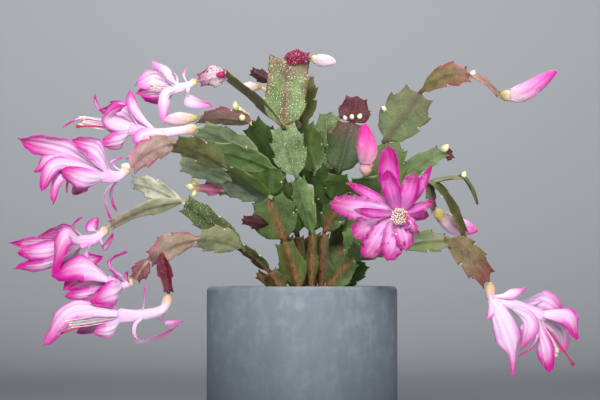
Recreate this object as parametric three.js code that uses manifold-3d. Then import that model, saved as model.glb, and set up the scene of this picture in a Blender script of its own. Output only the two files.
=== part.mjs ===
// A christmas cactus in bloom in a plain mineral pot.
// Millimetres, +Z up. The origin is the middle of the pot's underside, and the front faces -Y.

import * as THREE from 'three';
import { mergeVertices } from 'three/addons/utils/BufferGeometryUtils.js';
import Module from 'manifold-3d';

const wasm = await Module();
wasm.setup();

// Driving dimensions

const POT_RADIUS = 60;
const POT_HEIGHT = 110;
const POT_WALL = 7;
const POT_FLOOR = 10;
const POT_LIP_RADIUS = 3.2;
const POT_FOOT_BEVEL = 1.5;
const POT_SIDES = 32;
const LIP_STEPS = 3;

const SEAT_GAP = 0.3;
const SOIL_HEIGHT = 97;
const ROOT_RADIUS = 3.4;
const ROOT_DEPTH = 14;
const HOLE_SIDES = 10;
const HOLE_CLEARANCE = 0.5;

const MARGIN_THICKNESS = 0.8;
const RIB_TAPER = 0.4;
const NECK_SINK = 2.5;
const SECTION_POINTS = 6;
const FIRST_POINT_ANGLE = Math.PI * (5 / 6);
const AREOLE_HALF_WIDTH = 0.8;
const SHARP_BEND = THREE.MathUtils.degToRad(48);
const TEPAL_THICKNESS = 0.9;
const TEPAL_SEAT = 0.45;
const TEPAL_STEPS = 3;
const BROAD_TEPAL = 6;
const ROLL_LENGTH = 0.5;
const FLOWER_SIDES = 6;
const BLOOM_GAP = 0.6;
const THROAT = 0.88;
const STAMEN_RADIUS = 0.5;
const STAMEN_SPREAD = 2.2;
const STAMEN_SIDES = 3;
const STYLE_SIDES = 4;

// Outline of a segment, from its neck to its horned tip. Each row is a place along the length, the
// half widths left and right as shares of the full half width, and how far the left and right
// margins lead the middle there, which points the teeth forwards.

const TOOTHED_OUTLINE = [
  [0.06, 0.16, 0.16, 0.0, 0.0],
  [0.2, 0.68, 0.62, 0.0, 0.02],
  [0.42, 1.0, 0.92, 0.02, 0.05],
  [0.49, 0.86, 0.8, -0.01, 0.03],
  [0.68, 1.0, 1.0, 0.02, 0.06],
  [0.76, 0.8, 0.82, -0.01, 0.03],
  [0.9, 0.62, 0.56, 0.04, 0.07],
];

const CROWN_OUTLINE = [
  [0.04, 0.42, 0.4, 0.0, 0.0],
  [0.14, 0.78, 0.74, 0.0, 0.01],
  [0.32, 0.9, 0.9, 0.0, 0.02],
  [0.38, 0.86, 0.82, -0.01, 0.0],
  [0.7, 0.88, 1.0, 0.02, 0.05],
  [0.77, 0.84, 0.84, 0.0, 0.0],
  [0.95, 0.84, 0.86, 0.06, 0.03],
];

const SLIM_OUTLINE = [
  [0.06, 0.18, 0.18, 0.0, 0.0],
  [0.44, 1.0, 0.9, 0.02, 0.06],
  [0.53, 0.84, 0.78, 0.0, 0.04],
  [0.9, 0.6, 0.54, 0.04, 0.07],
];

const YOUNG_OUTLINE = [
  [0.08, 0.4, 0.4, 0.0, 0.0],
  [0.5, 1.0, 1.0, 0.02, 0.03],
  [0.9, 0.56, 0.5, 0.03, 0.03],
];

// Thickness of the ribbed middle of a segment, by the kind of segment

const FORMS = {
  old: { rib: 5.5, outline: SLIM_OUTLINE },
  leaf: { rib: 3.0, outline: TOOTHED_OUTLINE },
  crown: { rib: 3.0, outline: CROWN_OUTLINE },
  slim: { rib: 2.6, outline: SLIM_OUTLINE },
  young: { rib: 3.4, outline: YOUNG_OUTLINE },
};

const POT_GREY = 0x84909a;
const POT_ROUGHNESS = 0.85;
const SOIL_BROWN = 0x4a3b30;
const SOIL_ROUGHNESS = 1;
const STEM_ROUGHNESS = 0.55;
const PETAL_ROUGHNESS = 0.5;

const GREEN = 0x6b7f4e;
const OLIVE = 0x78804f;
const DEEP_GREEN = 0x4b6136;

// Leafy stems. Each row is a segment: its tip's name, the joint it grows from, the tip's place, its
// width, its turn about its own length from facing the front, how far its middle arches up, and
// its form. A joint given as a place is a shoot from the margin of a segment.

const LEAFY_STEMS = {
  stem_left_front: {
    colour: GREEN,
    root: [-1, -18, 107],
    segments: [
      ['foot', 'root', [-11, -24, 138], 22, 30, 1, 'old'],
      ['fork', 'foot', [-21, -30, 165], 30, 10, 0, 'leaf'],
      ['upright', 'fork', [-19, -27, 183], 22, 30, 0, 'leaf'],
      ['bright', 'upright', [-57, -38, 194], 22, 48, 2, 'leaf'],
      ['bright_bud', 'bright', [-66, -41, 197], 6, 0, 0, 'young'],
      ['red_shoot', [-24, -27, 149], [-37, -33, 151], 9, 0, 0, 'young'],
      ['long', 'fork', [-45, -42, 182], 20, 62, 1, 'slim'],
      ['olive', 'long', [-78, -54, 196], 21, 45, 3, 'leaf'],
      ['tip_red', 'olive', [-104, -58, 182], 21, 45, 4, 'leaf'],
      ['low', 'fork', [-49, -10, 170], 20, 56, 2, 'leaf'],
      ['low_bud', 'low', [-68, -2, 172], 9, 30, 0, 'young'],
      ['grey_neck', 'fork', [-44, -26, 176], 14, 66, 1, 'slim'],
      ['grey', 'grey_neck', [-76, -22, 187], 21, 42, 1, 'leaf'],
    ],
  },
  stem_left_back: {
    colour: DEEP_GREEN,
    root: [1, 6, 107],
    segments: [
      ['foot', 'root', [-3, 4, 142], 17, 40, 0, 'old'],
      ['middle', 'foot', [-11, 2, 176], 26, 22, 0, 'leaf'],
      ['dark', 'middle', [-33, 6, 214], 25, 40, 1, 'leaf'],
      ['ribbed', 'dark', [-64, -18, 215], 18, 54, 2, 'leaf'],
      ['dark_bud', 'dark', [-39, 5, 223], 5, 0, 0, 'young'],
      ['fork', 'middle', [-26, -2, 190], 16, 50, 0, 'slim'],
      ['pale', 'fork', [-64, -27, 208], 23, 50, 2, 'leaf'],
    ],
  },
  stem_centre_front: {
    colour: OLIVE,
    root: [6, -6, 107],
    segments: [
      ['foot', 'root', [7, -8, 143], 12, 40, 0, 'old'],
      ['light', 'foot', [-3, -10, 178], 18, 42, 0, 'leaf'],
      ['broad', 'light', [-12, -14, 211], 23, 14, 0, 'leaf'],
      ['crown', 'broad', [-8, -18, 252], 29, 0, 0, 'crown'],
      ['crown_cap', 'crown', [5, -24, 251.5], 10, 10, 1, 'young'],
      ['edge', 'broad', [-49, -4, 244], 21, 72, 2, 'slim'],
      ['spotted', 'edge', [-66, -2, 240], 16, 35, 0, 'young'],
      ['hidden', 'broad', [-22, 12, 242], 14, 72, 0, 'slim'],
      ['dark_red', 'hidden', [-33, 14, 248], 9, 20, 0, 'young'],
      ['bud_foot', [-21, 12, 235], [-26, 12, 237], 4, 0, 0, 'young'],
    ],
  },
  stem_centre_back: {
    colour: DEEP_GREEN,
    root: [12, 8, 107],
    segments: [
      ['foot', 'root', [14, 7, 144], 13, 25, 0, 'old'],
      ['ribbed', 'foot', [23, 2, 163], 18, 25, 0, 'leaf'],
      ['neck', 'ribbed', [23, -4, 181], 18, 20, 0, 'leaf'],
      ['dark', 'neck', [32, 0, 214], 27, 8, 0, 'leaf'],
      ['cap', 'dark', [35, -2, 230], 21, 0, 0, 'young'],
      ['inner', 'ribbed', [9, 18, 184], 22, 22, 0, 'leaf'],
      ['mottled', 'inner', [19, 22, 222], 23, 32, 0, 'leaf'],
      ['behind', 'inner', [1, 24, 214], 22, 25, 0, 'leaf'],
      ['behind_top', 'behind', [1, 27, 245], 21, 30, 0, 'leaf'],
    ],
  },
  stem_right_low: {
    colour: OLIVE,
    root: [15, -16, 107],
    segments: [
      ['foot', 'root', [32, -22, 127], 20, 25, 1, 'old'],
      ['middle', 'foot', [60, -30, 134], 20, 50, 2, 'leaf'],
      ['horned', 'middle', [91, -26, 138], 20, 45, 1, 'leaf'],
      ['hanging', 'horned', [116, -22, 113], 21, 28, 3, 'leaf'],
      ['curl_up', 'foot', [29, -12, 146], 13, 40, 0, 'leaf'],
      ['curl_low', 'foot', [35, -35, 136], 11, 30, 0, 'leaf'],
      ['forward', 'middle', [58, -42, 152], 15, 10, 0, 'leaf'],
    ],
  },
  stem_right_high: {
    colour: GREEN,
    root: [24, 14, 107],
    segments: [
      ['foot', 'root', [32, 16, 133], 18, 20, 0, 'old'],
      ['middle', 'foot', [42, 10, 160], 24, 15, 0, 'leaf'],
      ['fork', 'middle', [56, 14, 174], 18, 20, 0, 'leaf'],
      ['grey', 'fork', [53, 16, 202], 28, 10, 0, 'leaf'],
      ['top', 'grey', [76, 14, 234], 30, 0, 0, 'leaf'],
      ['arched', 'top', [107, 6, 244], 20, 36, 5, 'leaf'],
      ['thin', 'arched', [125, 0, 230], 12, 58, 3, 'slim'],
      ['side_high', 'fork', [92, 22, 197], 19, 44, 1, 'leaf'],
      ['side_red', 'side_high', [96, 20, 191], 8, 20, 0, 'young'],
      ['bow', 'fork', [81, 26, 176], 15, 74, 1, 'slim'],
      ['bow_out', 'bow', [104, 30, 180], 15, 76, 1, 'slim'],
      ['bow_down', 'bow_out', [114, 32, 163], 15, 76, 3, 'slim'],
      ['drooping', 'bow', [105, 20, 141], 18, 66, 9, 'leaf'],
      ['purple', 'bow', [86, 36, 159], 12, 50, 0, 'leaf'],
      ['broad', 'middle', [39, -26, 178], 24, 10, 1, 'leaf'],
      ['side', 'root', [40, 8, 125], 14, 25, 1, 'leaf'],
    ],
  },
  stem_left_low: {
    colour: OLIVE,
    root: [-11, -30, 107],
    segments: [
      ['foot', 'root', [-20, -34, 119], 16, 25, 0, 'old'],
      ['narrow', 'foot', [-37, -42, 134], 15, 60, 1, 'leaf'],
      ['smooth', 'narrow', [-63, -56, 139], 21, 36, 2, 'leaf'],
      ['jagged', 'smooth', [-92, -64, 126], 20, 42, 3, 'leaf'],
      ['reddish', 'jagged', [-100, -66, 114], 13, 40, 1, 'leaf'],
      ['spotted', 'narrow', [-72, -46, 161], 20, 40, 1, 'leaf'],
      ['pale', 'spotted', [-104, -40, 174], 18, 48, 2, 'leaf'],
      ['slender', 'spotted', [-117, -54, 146], 17, 58, 4, 'slim'],
      ['knot', 'root', [-28, -22, 118], 9, 10, 0, 'old'],
      ['crimson', [-84, -61, 128], [-79, -72, 105.6], 10, 30, 0, 'young'],
    ],
  },
  stem_back_left: {
    colour: GREEN,
    root: [-5, 27, 107],
    segments: [
      ['foot', 'root', [-10, 44, 142], 17, 30, 0, 'old'],
      ['middle', 'foot', [-20, 64, 170], 24, 25, 2, 'leaf'],
      ['high', 'middle', [-27, 76, 206], 24, 20, 2, 'leaf'],
      ['out', 'middle', [-44, 88, 186], 22, 40, 3, 'leaf'],
      ['out_tip', 'out', [-56, 104, 172], 20, 35, 2, 'leaf'],
    ],
  },
  stem_back_centre: {
    colour: DEEP_GREEN,
    root: [7, 34, 107],
    segments: [
      ['foot', 'root', [6, 55, 144], 24, 20, 0, 'old'],
      ['middle', 'foot', [12, 66, 176], 24, 15, 2, 'leaf'],
      ['left', 'middle', [-1, 82, 208], 24, 20, 2, 'leaf'],
      ['left_top', 'left', [-7, 88, 243], 22, 20, 1, 'leaf'],
      ['right', 'middle', [31, 84, 203], 22, 40, 2, 'leaf'],
    ],
  },
  stem_back_right: {
    colour: OLIVE,
    root: [25, 26, 107],
    segments: [
      ['foot', 'root', [28, 38, 150], 25, 10, 0, 'leaf'],
      ['middle', 'foot', [48, 66, 158], 22, 25, 2, 'leaf'],
      ['out', 'middle', [60, 84, 160], 22, 30, 4, 'leaf'],
    ],
  },
};

// Blooms. The tube runs from the tip of the segment that the bloom is on through its points to the
// mouth. Lean is how far the faces of the broad tepals are rolled from the flower's axis to the
// front. A tepal is the place on the tube where it starts, from 0 at the foot to 1 at the mouth, its
// width, and the points that its middle runs through to its tip.

const PINK = 0xf0a8dc;
const MAGENTA = 0xe05cc0;

const BLOOMS = {
  bloom_crown_left: {
    colour: PINK,
    on: 'stem_centre_front.spotted',
    tube: [[-73, -4, 236], [-82, -6, 234]],
    mouth: 3.6,
    lean: 0.55,
    stamens: [-96, -8, 236],
    style: [-102, -8, 236],
    tepals: [
      [0.8, 7, [-84, -10, 244], [-95, -14, 251]],
      [0.9, 13, [-92, -8, 241], [-105, -12, 236]],
      [0.9, 8, [-96, -2, 233], [-105, -6, 231]],
      [0.4, 4, [-75, 2, 243], [-74, 4, 249]],
      [0.8, 7, [-85, -12, 230], [-86, -16, 210]],
      [0.4, 7, [-71, -13, 227], [-55, -16, 222]],
      [0.9, 11, [-87, 10, 239], [-99, 20, 244]],
      [0.9, 10, [-89, 12, 232], [-103, 18, 231]],
      [0.8, 5, [-80, 8, 243], [-87, 14, 248]],
    ],
  },
  bloom_upper_left: {
    colour: PINK,
    on: 'stem_left_back.pale',
    tube: [[-75, -29, 206], [-94, -30, 204], [-109, -32, 208]],
    mouth: 4.4,
    lean: 0.55,
    stamens: [-137, -33, 212],
    style: [-139, -36, 208],
    tepals: [
      [0.8, 12, [-111, -32, 219], [-125, -36, 218]],
      [0.9, 12, [-112, -35, 199], [-124, -38, 196]],
      [0.6, 7, [-103, -36, 220], [-106, -36, 231]],
      [0.8, 10, [-118, -40, 213], [-107, -46, 221]],
      [0.5, 9, [-98, -39, 201], [-97, -42, 191]],
      [0.9, 4, [-125, -32, 220], [-128, -32, 229]],
      [0.9, 4, [-135, -34, 213], [-147, -36, 208]],
      [0.9, 11, [-114, -16, 210], [-126, -6, 214]],
      [0.7, 10, [-110, -16, 219], [-121, -6, 226]],
    ],
  },
  bloom_far_left: {
    colour: MAGENTA,
    on: 'stem_left_front.tip_red',
    tube: [[-111, -60, 176], [-121, -63, 177]],
    mouth: 4.6,
    lean: 0.55,
    stamens: [-151, -66, 178],
    style: [-154, -66, 175],
    tepals: [
      [0.9, 16, [-141, -68, 191], [-169, -74, 198]],
      [0.7, 13, [-124, -60, 194], [-138, -62, 198]],
      [0.3, 3, [-114, -66, 184], [-107, -68, 187]],
      [0.8, 11, [-129, -74, 174], [-143, -78, 179]],
      [0.9, 10, [-149, -72, 186], [-159, -74, 178]],
      [0.9, 8, [-146, -77, 182], [-154, -80, 166]],
      [0.9, 7, [-143, -71, 175], [-148, -73, 159]],
      [0.9, 5, [-139, -64, 175], [-141, -64, 166]],
      [0.6, 4, [-118, -62, 164], [-114, -64, 149]],
      [0.5, 4, [-115, -55, 166], [-112, -54, 155]],
      [0.9, 13, [-135, -50, 184], [-156, -38, 189]],
      [0.8, 11, [-131, -50, 174], [-140, -42, 166]],
    ],
  },
  bloom_middle_left: {
    colour: PINK,
    on: 'stem_left_low.slender',
    tube: [[-124, -56, 139], [-135, -58, 136]],
    mouth: 4.4,
    lean: 0.55,
    stamens: [-160, -60, 129],
    style: [-167, -60, 132],
    tepals: [
      [0.9, 7, [-156, -60, 137], [-175, -66, 136]],
      [0.9, 10, [-155, -66, 131], [-169, -74, 130]],
      [0.9, 8, [-153, -62, 123], [-172, -68, 121]],
      [0.9, 10, [-140, -70, 141], [-148, -76, 116]],
      [0.3, 7, [-127, -52, 145], [-123, -52, 152]],
      [0.4, 5, [-119, -60, 134], [-113, -62, 142]],
      [0.7, 7, [-128, -62, 127], [-119, -64, 128]],
      [0.8, 5, [-138, -54, 146], [-133, -54, 152]],
      [0.9, 11, [-142, -58, 144], [-158, -62, 140]],
      [0.9, 11, [-148, -44, 135], [-170, -32, 130]],
      [0.9, 10, [-140, -46, 128], [-153, -36, 122]],
    ],
  },
  bloom_lower_left: {
    colour: PINK,
    on: 'stem_left_low.reddish',
    tube: [[-107, -68, 111], [-117, -70, 113]],
    mouth: 4.4,
    lean: 0.55,
    stamens: [-134, -64, 114],
    style: [-141, -62, 114],
    tepals: [
      [0.9, 16, [-129, -74, 122], [-147, -80, 116]],
      [0.9, 12, [-129, -68, 115], [-142, -71, 108]],
      [0.4, 4, [-108, -74, 117], [-114, -76, 120]],
      [0.2, 4, [-104, -73, 115], [-103, -76, 119]],
      [0.6, 5, [-114, -68, 125], [-104, -68, 131]],
      [0.5, 13, [-111, -81, 106], [-125, -83, 101]],
      [0.8, 7, [-128, -76, 105], [-140, -78, 104]],
      [0.9, 7, [-126, -58, 121], [-136, -54, 125]],
      [0.8, 11, [-127, -52, 111], [-142, -44, 105]],
    ],
  },
  bloom_hanging_left: {
    colour: PINK,
    on: 'stem_left_low.crimson',
    tube: [[-82, -77, 97], [-97, -76, 93], [-110, -77, 93]],
    mouth: 4.4,
    lean: 0.55,
    stamens: [-139, -81, 88],
    style: [-148, -83, 80],
    tepals: [
      [0.9, 12, [-135, -81, 97], [-152, -86, 75]],
      [0.9, 10, [-113, -80, 84], [-123, -80, 83]],
      [0.6, 5, [-98, -80, 87], [-97, -80, 79], [-85, -76, 81], [-73, -73, 87]],
      [0.3, 5, [-83, -69, 90], [-71, -67, 89]],
      [0.6, 5, [-93, -79, 102], [-92, -80, 111]],
      [0.9, 9, [-120, -73, 101], [-132, -75, 99]],
      [0.9, 10, [-121, -62, 89], [-136, -54, 82]],
      [0.9, 10, [-122, -64, 97], [-136, -54, 97]],
    ],
  },
  bloom_front: {
    colour: MAGENTA,
    on: 'stem_right_low.forward',
    tube: [[58, -57, 154], [57, -68, 154]],
    mouth: 5.0,
    lean: 0,
    stamens: [57, -86, 151],
    style: [62, -93, 146],
    tepals: [
      [0.9, 11, [52, -73, 173], [51, -73, 194]],
      [0.9, 9, [53, -80, 166], [50, -83, 179]],
      [0.9, 6, [41, -72, 164], [26, -70, 172]],
      [0.9, 13, [35, -74, 156], [16, -75, 159]],
      [0.9, 5, [42, -85, 153], [30, -92, 155]],
      [0.9, 12, [41, -75, 147], [30, -76, 139]],
      [0.9, 12, [46, -79, 140], [36, -78, 127]],
      [0.9, 12, [54, -81, 138], [50, -81, 125]],
      [0.9, 10, [60, -81, 142], [61, -85, 131]],
      [0.9, 7, [63, -82, 148], [68, -88, 141]],
      [0.9, 10, [63, -77, 165], [67, -76, 177]],
      [0.9, 6, [68, -70, 166], [78, -66, 183]],
      [0.9, 5, [69, -73, 157], [79, -74, 161]],
    ],
  },
  bloom_right: {
    colour: PINK,
    on: 'stem_right_low.hanging',
    tube: [[118, -22, 102], [132, -21, 98], [151, -20, 90]],
    mouth: 4.6,
    lean: 0.55,
    stamens: [157, -22, 67],
    style: [168, -24, 61],
    tepals: [
      [0.3, 7, [130, -23, 106], [139, -23, 109]],
      [0.2, 4, [117, -26, 95], [113, -28, 89]],
      [0.3, 14, [124, -30, 86], [129, -28, 70], [130, -28, 53]],
      [0.6, 11, [139, -27, 87], [135, -25, 71]],
      [0.7, 13, [150, -14, 101], [163, -12, 91]],
      [0.9, 12, [165, -23, 91], [170, -24, 77]],
      [0.9, 4, [144, -28, 76], [133, -32, 67]],
      [0.9, 10, [149, -27, 73], [152, -30, 57]],
      [0.9, 10, [162, -8, 82], [164, 0, 68]],
      [0.8, 10, [152, -8, 97], [167, -2, 90]],
    ],
  },
  bloom_back: {
    colour: PINK,
    on: 'stem_back_right.out',
    tube: [[62, 94, 160], [62, 102, 161]],
    mouth: 4.6,
    lean: 0,
    stamens: [60, 120, 156],
    style: [61, 126, 153],
    tepals: [
      [0.9, 10, [60, 110, 174], [55, 116, 186]],
      [0.9, 10, [72, 110, 170], [82, 112, 180]],
      [0.9, 10, [76, 110, 160], [88, 113, 158]],
      [0.9, 10, [70, 110, 149], [80, 112, 140]],
      [0.9, 10, [60, 111, 146], [58, 115, 134]],
      [0.9, 10, [50, 110, 152], [38, 112, 146]],
      [0.9, 10, [48, 110, 166], [36, 113, 170]],
      [0.5, 7, [66, 100, 172], [72, 93, 177]],
      [0.5, 7, [54, 99, 151], [46, 93, 145]],
    ],
  },
};

// Closed buds, each on a path from the tip of the segment that it is on, with its largest radius

const BUDS = {
  bud_left: { on: 'stem_left_back.ribbed', radius: 3.8, path: [[-76, -21, 214], [-86, -22, 213]] },
  bud_far_right: { on: 'stem_right_high.thin', radius: 5.4, path: [[139, -3, 232], [161, -2, 246]] },
  bud_front: { on: 'stem_right_high.broad', radius: 6, path: [[40, -32, 194], [38, -33, 210]] },
  bud_top: { on: 'stem_centre_front.crown_cap', radius: 3.6, path: [[12, -26, 250], [21, -27, 249]] },
  bud_right: { on: 'stem_right_high.purple', radius: 5.8, path: [[99, 42, 150], [115, 44, 146]] },
  bud_crown: { on: 'stem_centre_front.bud_foot', radius: 3.2, path: [[-33, 12, 237], [-41, 11, 236]] },
  bud_back: { on: 'stem_back_centre.right', radius: 4.6, path: [[39, 93, 207], [49, 101, 214]] },
};

// Radius of the woody foot of a stem at its bottom, at the soil and just below the first joint, as
// shares of the full radius

const FOOT_SHARES = { bottom: 0.8, soil: 1.0, joint: 0.9 };

// Profile of a flower's tube and of a bud: places along the path and shares of the full radius

const TUBE_PROFILE = [
  [0.0, 0.22],
  [0.14, 0.72],
  [0.26, 0.62],
  [0.6, 0.75],
  [0.94, 1.0],
  [1.0, 0.45],
];

const BUD_PROFILE = [
  [0.0, 0.24],
  [0.12, 0.72],
  [0.22, 0.66],
  [0.45, 1.0],
  [0.72, 0.92],
  [0.93, 0.42],
  [1.0, 0.14],
];

// Half width of a tepal along its length, as a share of its full half width

const TEPAL_PROFILE = [0.3, 0.92, 1.0, 0.14];

// Profile of a stamen or a style with its end knob, and where the three stamens stand about the
// middle one's place: steps to the right and up, as shares of their spread

const THREAD_PROFILE = [
  [0.0, 1.0],
  [0.9, 1.0],
  [0.97, 2.0],
  [1.0, 0.8],
];

const STAMEN_STEPS = [
  [0, 1],
  [1, -0.6],
  [-1, -0.6],
];

const vector = (place) => new THREE.Vector3(...place);

// Geometry from a stack of rings with the same number of points each. The lower half of each ring
// is split along the mirrored diagonals, so that both faces of a thin blade bend alike.

function loft(rings) {
  const count = rings[0].length;
  const positions = rings.flat().flatMap((point) => point.toArray());
  const faces = [];
  for (let ring = 0; ring < rings.length - 1; ring += 1) {
    for (let side = 0; side < count; side += 1) {
      const near = ring * count + side;
      const nearNext = ring * count + ((side + 1) % count);
      const far = near + count;
      const farNext = nearNext + count;
      if (side < count / 2) {
        faces.push(near, nearNext, farNext, near, farNext, far);
      } else {
        faces.push(near, nearNext, far, nearNext, farNext, far);
      }
    }
  }
  const last = (rings.length - 1) * count;
  for (let side = 1; side < count - 1; side += 1) {
    faces.push(0, side + 1, side);
    faces.push(last, last + side, last + side + 1);
  }
  const geometry = new THREE.BufferGeometry();
  geometry.setAttribute('position', new THREE.Float32BufferAttribute(positions, 3));
  geometry.setIndex(faces);
  return geometry;
}

// Six times the signed volume that a triangle list encloses

function signedVolume(points, faces) {
  let total = 0;
  for (let face = 0; face < faces.length; face += 3) {
    const [a, b, c] = faces.slice(face, face + 3).map((corner) => {
      return vector(points.slice(corner * 3, corner * 3 + 3));
    });
    total += a.dot(b.cross(c));
  }
  return total;
}

// Closed solid from a geometry, with shared corners merged, flat slivers dropped and faces out

function solidOf(geometry) {
  const bare = geometry.clone();
  bare.deleteAttribute('normal');
  bare.deleteAttribute('uv');
  const merged = mergeVertices(bare);
  const points = Array.from(merged.attributes.position.array);
  const index = merged.index.array;
  const faces = [];
  for (let face = 0; face < index.length; face += 3) {
    const [a, b, c] = index.slice(face, face + 3);
    if (a !== b && b !== c && c !== a) {
      faces.push(a, b, c);
    }
  }
  if (signedVolume(points, faces) < 0) {
    faces.reverse();
  }
  return new wasm.Manifold(new wasm.Mesh({
    numProp: 3,
    vertProperties: Float32Array.from(points),
    triVerts: Uint32Array.from(faces),
  }));
}

function geometryOf(solid) {
  const mesh = solid.getMesh();
  const geometry = new THREE.BufferGeometry();
  geometry.setAttribute('position', new THREE.BufferAttribute(new Float32Array(mesh.vertProperties), 3));
  geometry.setIndex(new THREE.BufferAttribute(new Uint32Array(mesh.triVerts), 1));
  return geometry;
}

const fuse = (geometries) => geometries.map(solidOf).reduce((whole, piece) => whole.add(piece));

// Round ring of points about a centre, square to a direction

function roundRing(centre, direction, radius, sides) {
  const across = new THREE.Vector3(0, 1, 0.2).cross(direction).normalize();
  const up = direction.clone().cross(across).normalize();
  return Array.from({ length: sides }, (_, side) => {
    const angle = (side / sides) * Math.PI * 2;
    return centre.clone()
      .addScaledVector(across, Math.cos(angle) * radius)
      .addScaledVector(up, Math.sin(angle) * radius);
  });
}

// Round body along a curve, its radius following a profile

function spindle(curve, profile, radius, sides) {
  return loft(profile.map(([along, share]) => {
    return roundRing(curve.getPoint(along), curve.getTangent(along), radius * share, sides);
  }));
}

// Smooth curve from the tip of a named segment through some places

function curveFrom(on, places) {
  const [stem, name] = on.split('.');
  const [, , tip] = LEAFY_STEMS[stem].segments.find(([segmentName]) => segmentName === name);
  return new THREE.CatmullRomCurve3([tip, ...places].map(vector));
}

// The same curve, starting just clear of the segment

function seatedCurve(on, places) {
  const curve = curveFrom(on, places);
  curve.points[0].addScaledVector(curve.getTangent(0), BLOOM_GAP);
  return curve;
}

// Rings of one flat jointed segment of the stem: a blade with toothed margins and a thick ribbed
// middle, which arches over the straight line from its base to its tip and ends in a small areole.

function segmentRings(base, tip, width, turn, arch, form) {
  const { rib, outline } = FORMS[form];
  const along = tip.clone().sub(base).normalize();
  const facing = new THREE.Vector3(0, -1, 0).addScaledVector(along, along.y).normalize();
  const across = along.clone().cross(facing);
  const angle = THREE.MathUtils.degToRad(turn);
  const side = across.clone().multiplyScalar(Math.cos(angle)).addScaledVector(facing, Math.sin(angle));
  const normal = facing.clone().multiplyScalar(Math.cos(angle)).addScaledVector(across, -Math.sin(angle));
  const middle = (place) => {
    const point = base.clone().lerp(tip, place);
    point.z += arch * 4 * place * (1 - place);
    return point;
  };
  const areole = AREOLE_HALF_WIDTH / (width / 2);
  return [...outline, [1, areole, areole, 0, 0]].map(([place, left, right, leftLead, rightLead]) => {
    const leftPoint = middle(place + leftLead).addScaledVector(side, -left * width / 2);
    const rightPoint = middle(place + rightLead).addScaledVector(side, right * width / 2);
    const halves = [MARGIN_THICKNESS / 2, rib * (1 - RIB_TAPER * place) / 2, MARGIN_THICKNESS / 2];
    const spine = [leftPoint, middle(place), rightPoint];
    const upper = spine.map((point, row) => point.clone().addScaledVector(normal, halves[row]));
    const lower = spine.map((point, row) => point.clone().addScaledVector(normal, -halves[row]));
    return [...upper, ...lower.reverse()];
  });
}

// Rings of the round woody foot of a stem, standing in its hole in the soil, with its flats turned
// the way of the segment above it

function footRings([x, y, z], turn) {
  const rows = [
    [SOIL_HEIGHT - ROOT_DEPTH + SEAT_GAP, FOOT_SHARES.bottom],
    [SOIL_HEIGHT, FOOT_SHARES.soil],
    [z - 2 * NECK_SINK, FOOT_SHARES.joint],
  ];
  const angle = THREE.MathUtils.degToRad(turn);
  return rows.map(([height, share]) => {
    return Array.from({ length: SECTION_POINTS }, (_, point) => {
      const around = FIRST_POINT_ANGLE - (point / SECTION_POINTS) * 2 * Math.PI - angle;
      const radius = ROOT_RADIUS * share;
      return new THREE.Vector3(x + radius * Math.cos(around), y - radius * Math.sin(around), height);
    });
  });
}

// A leafy stem. A segment that grows straight on from the one before it is lofted on from it, in
// place of its areole, and one that branches off or turns sharply starts a new limb, sunk into the
// joint.

function leafyStem({ root, segments }) {
  const joints = { root };
  const headings = {};
  const limbs = [];
  segments.forEach(([name, from, tip, width, turn, arch, form], row) => {
    const base = vector(Array.isArray(from) ? from : joints[from]);
    const heading = vector(tip).sub(base).normalize();
    const follows = row > 0 && segments[row - 1][0] === from;
    if (row === 0) {
      limbs.push(footRings(root, turn));
    } else if (!follows || headings[from].angleTo(heading) > SHARP_BEND) {
      base.addScaledVector(heading, -NECK_SINK);
      limbs.push([]);
    } else {
      limbs.at(-1).pop();
    }
    limbs.at(-1).push(...segmentRings(base, vector(tip), width, turn, arch, form));
    joints[name] = tip;
    headings[name] = heading;
  });
  return fuse(limbs.map(loft));
}

// A tepal: a thin strip along a curve from inside the tube to its tip. Its face is turned to the
// flower's axis where it leaves the tube, and a broad one rolls from there to the front or back.

function tepal(tube, mouth, lean, [start, width, ...places]) {
  const base = tube.getPoint(start);
  const axis = tube.getTangent(start);
  const outward = vector(places[0]).sub(base);
  outward.addScaledVector(axis, -outward.dot(axis)).normalize();
  base.addScaledVector(outward, mouth * TEPAL_SEAT);
  const curve = new THREE.CatmullRomCurve3([base, ...places.map(vector)]);
  const sideways = axis.clone().cross(outward);
  const front = new THREE.Vector3(0, curve.getTangent(0.5).cross(sideways).y > 0 ? 1 : -1, 0);
  const steps = TEPAL_STEPS + places.length - 2;
  return loft(Array.from({ length: steps + 1 }, (_, step) => {
    const place = step / steps;
    const centre = curve.getPoint(place);
    const tangent = curve.getTangent(place);
    const flat = sideways.clone().addScaledVector(tangent, -sideways.dot(tangent)).normalize();
    const roll = width < BROAD_TEPAL ? 0 : lean * Math.min(1, place / ROLL_LENGTH);
    const rolled = tangent.clone().cross(flat).lerp(front, roll);
    const normal = rolled.addScaledVector(tangent, -rolled.dot(tangent)).normalize();
    const side = normal.clone().cross(tangent);
    const share = TEPAL_PROFILE[Math.round(place * (TEPAL_PROFILE.length - 1))];
    const half = Math.max(share * width / 2, TEPAL_THICKNESS / 2);
    return [[-1, 1], [1, 1], [1, -1], [-1, -1]].map(([sideSign, faceSign]) => {
      return centre.clone()
        .addScaledVector(side, sideSign * half)
        .addScaledVector(normal, faceSign * TEPAL_THICKNESS / 2);
    });
  }));
}

// Thread from the flower's mouth to a place, ending in a small knob

function thread(from, to, radius, sides) {
  const along = to.clone().sub(from).normalize();
  return loft(THREAD_PROFILE.map(([place, share]) => {
    return roundRing(from.clone().lerp(to, place), along, radius * share, sides);
  }));
}

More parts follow.
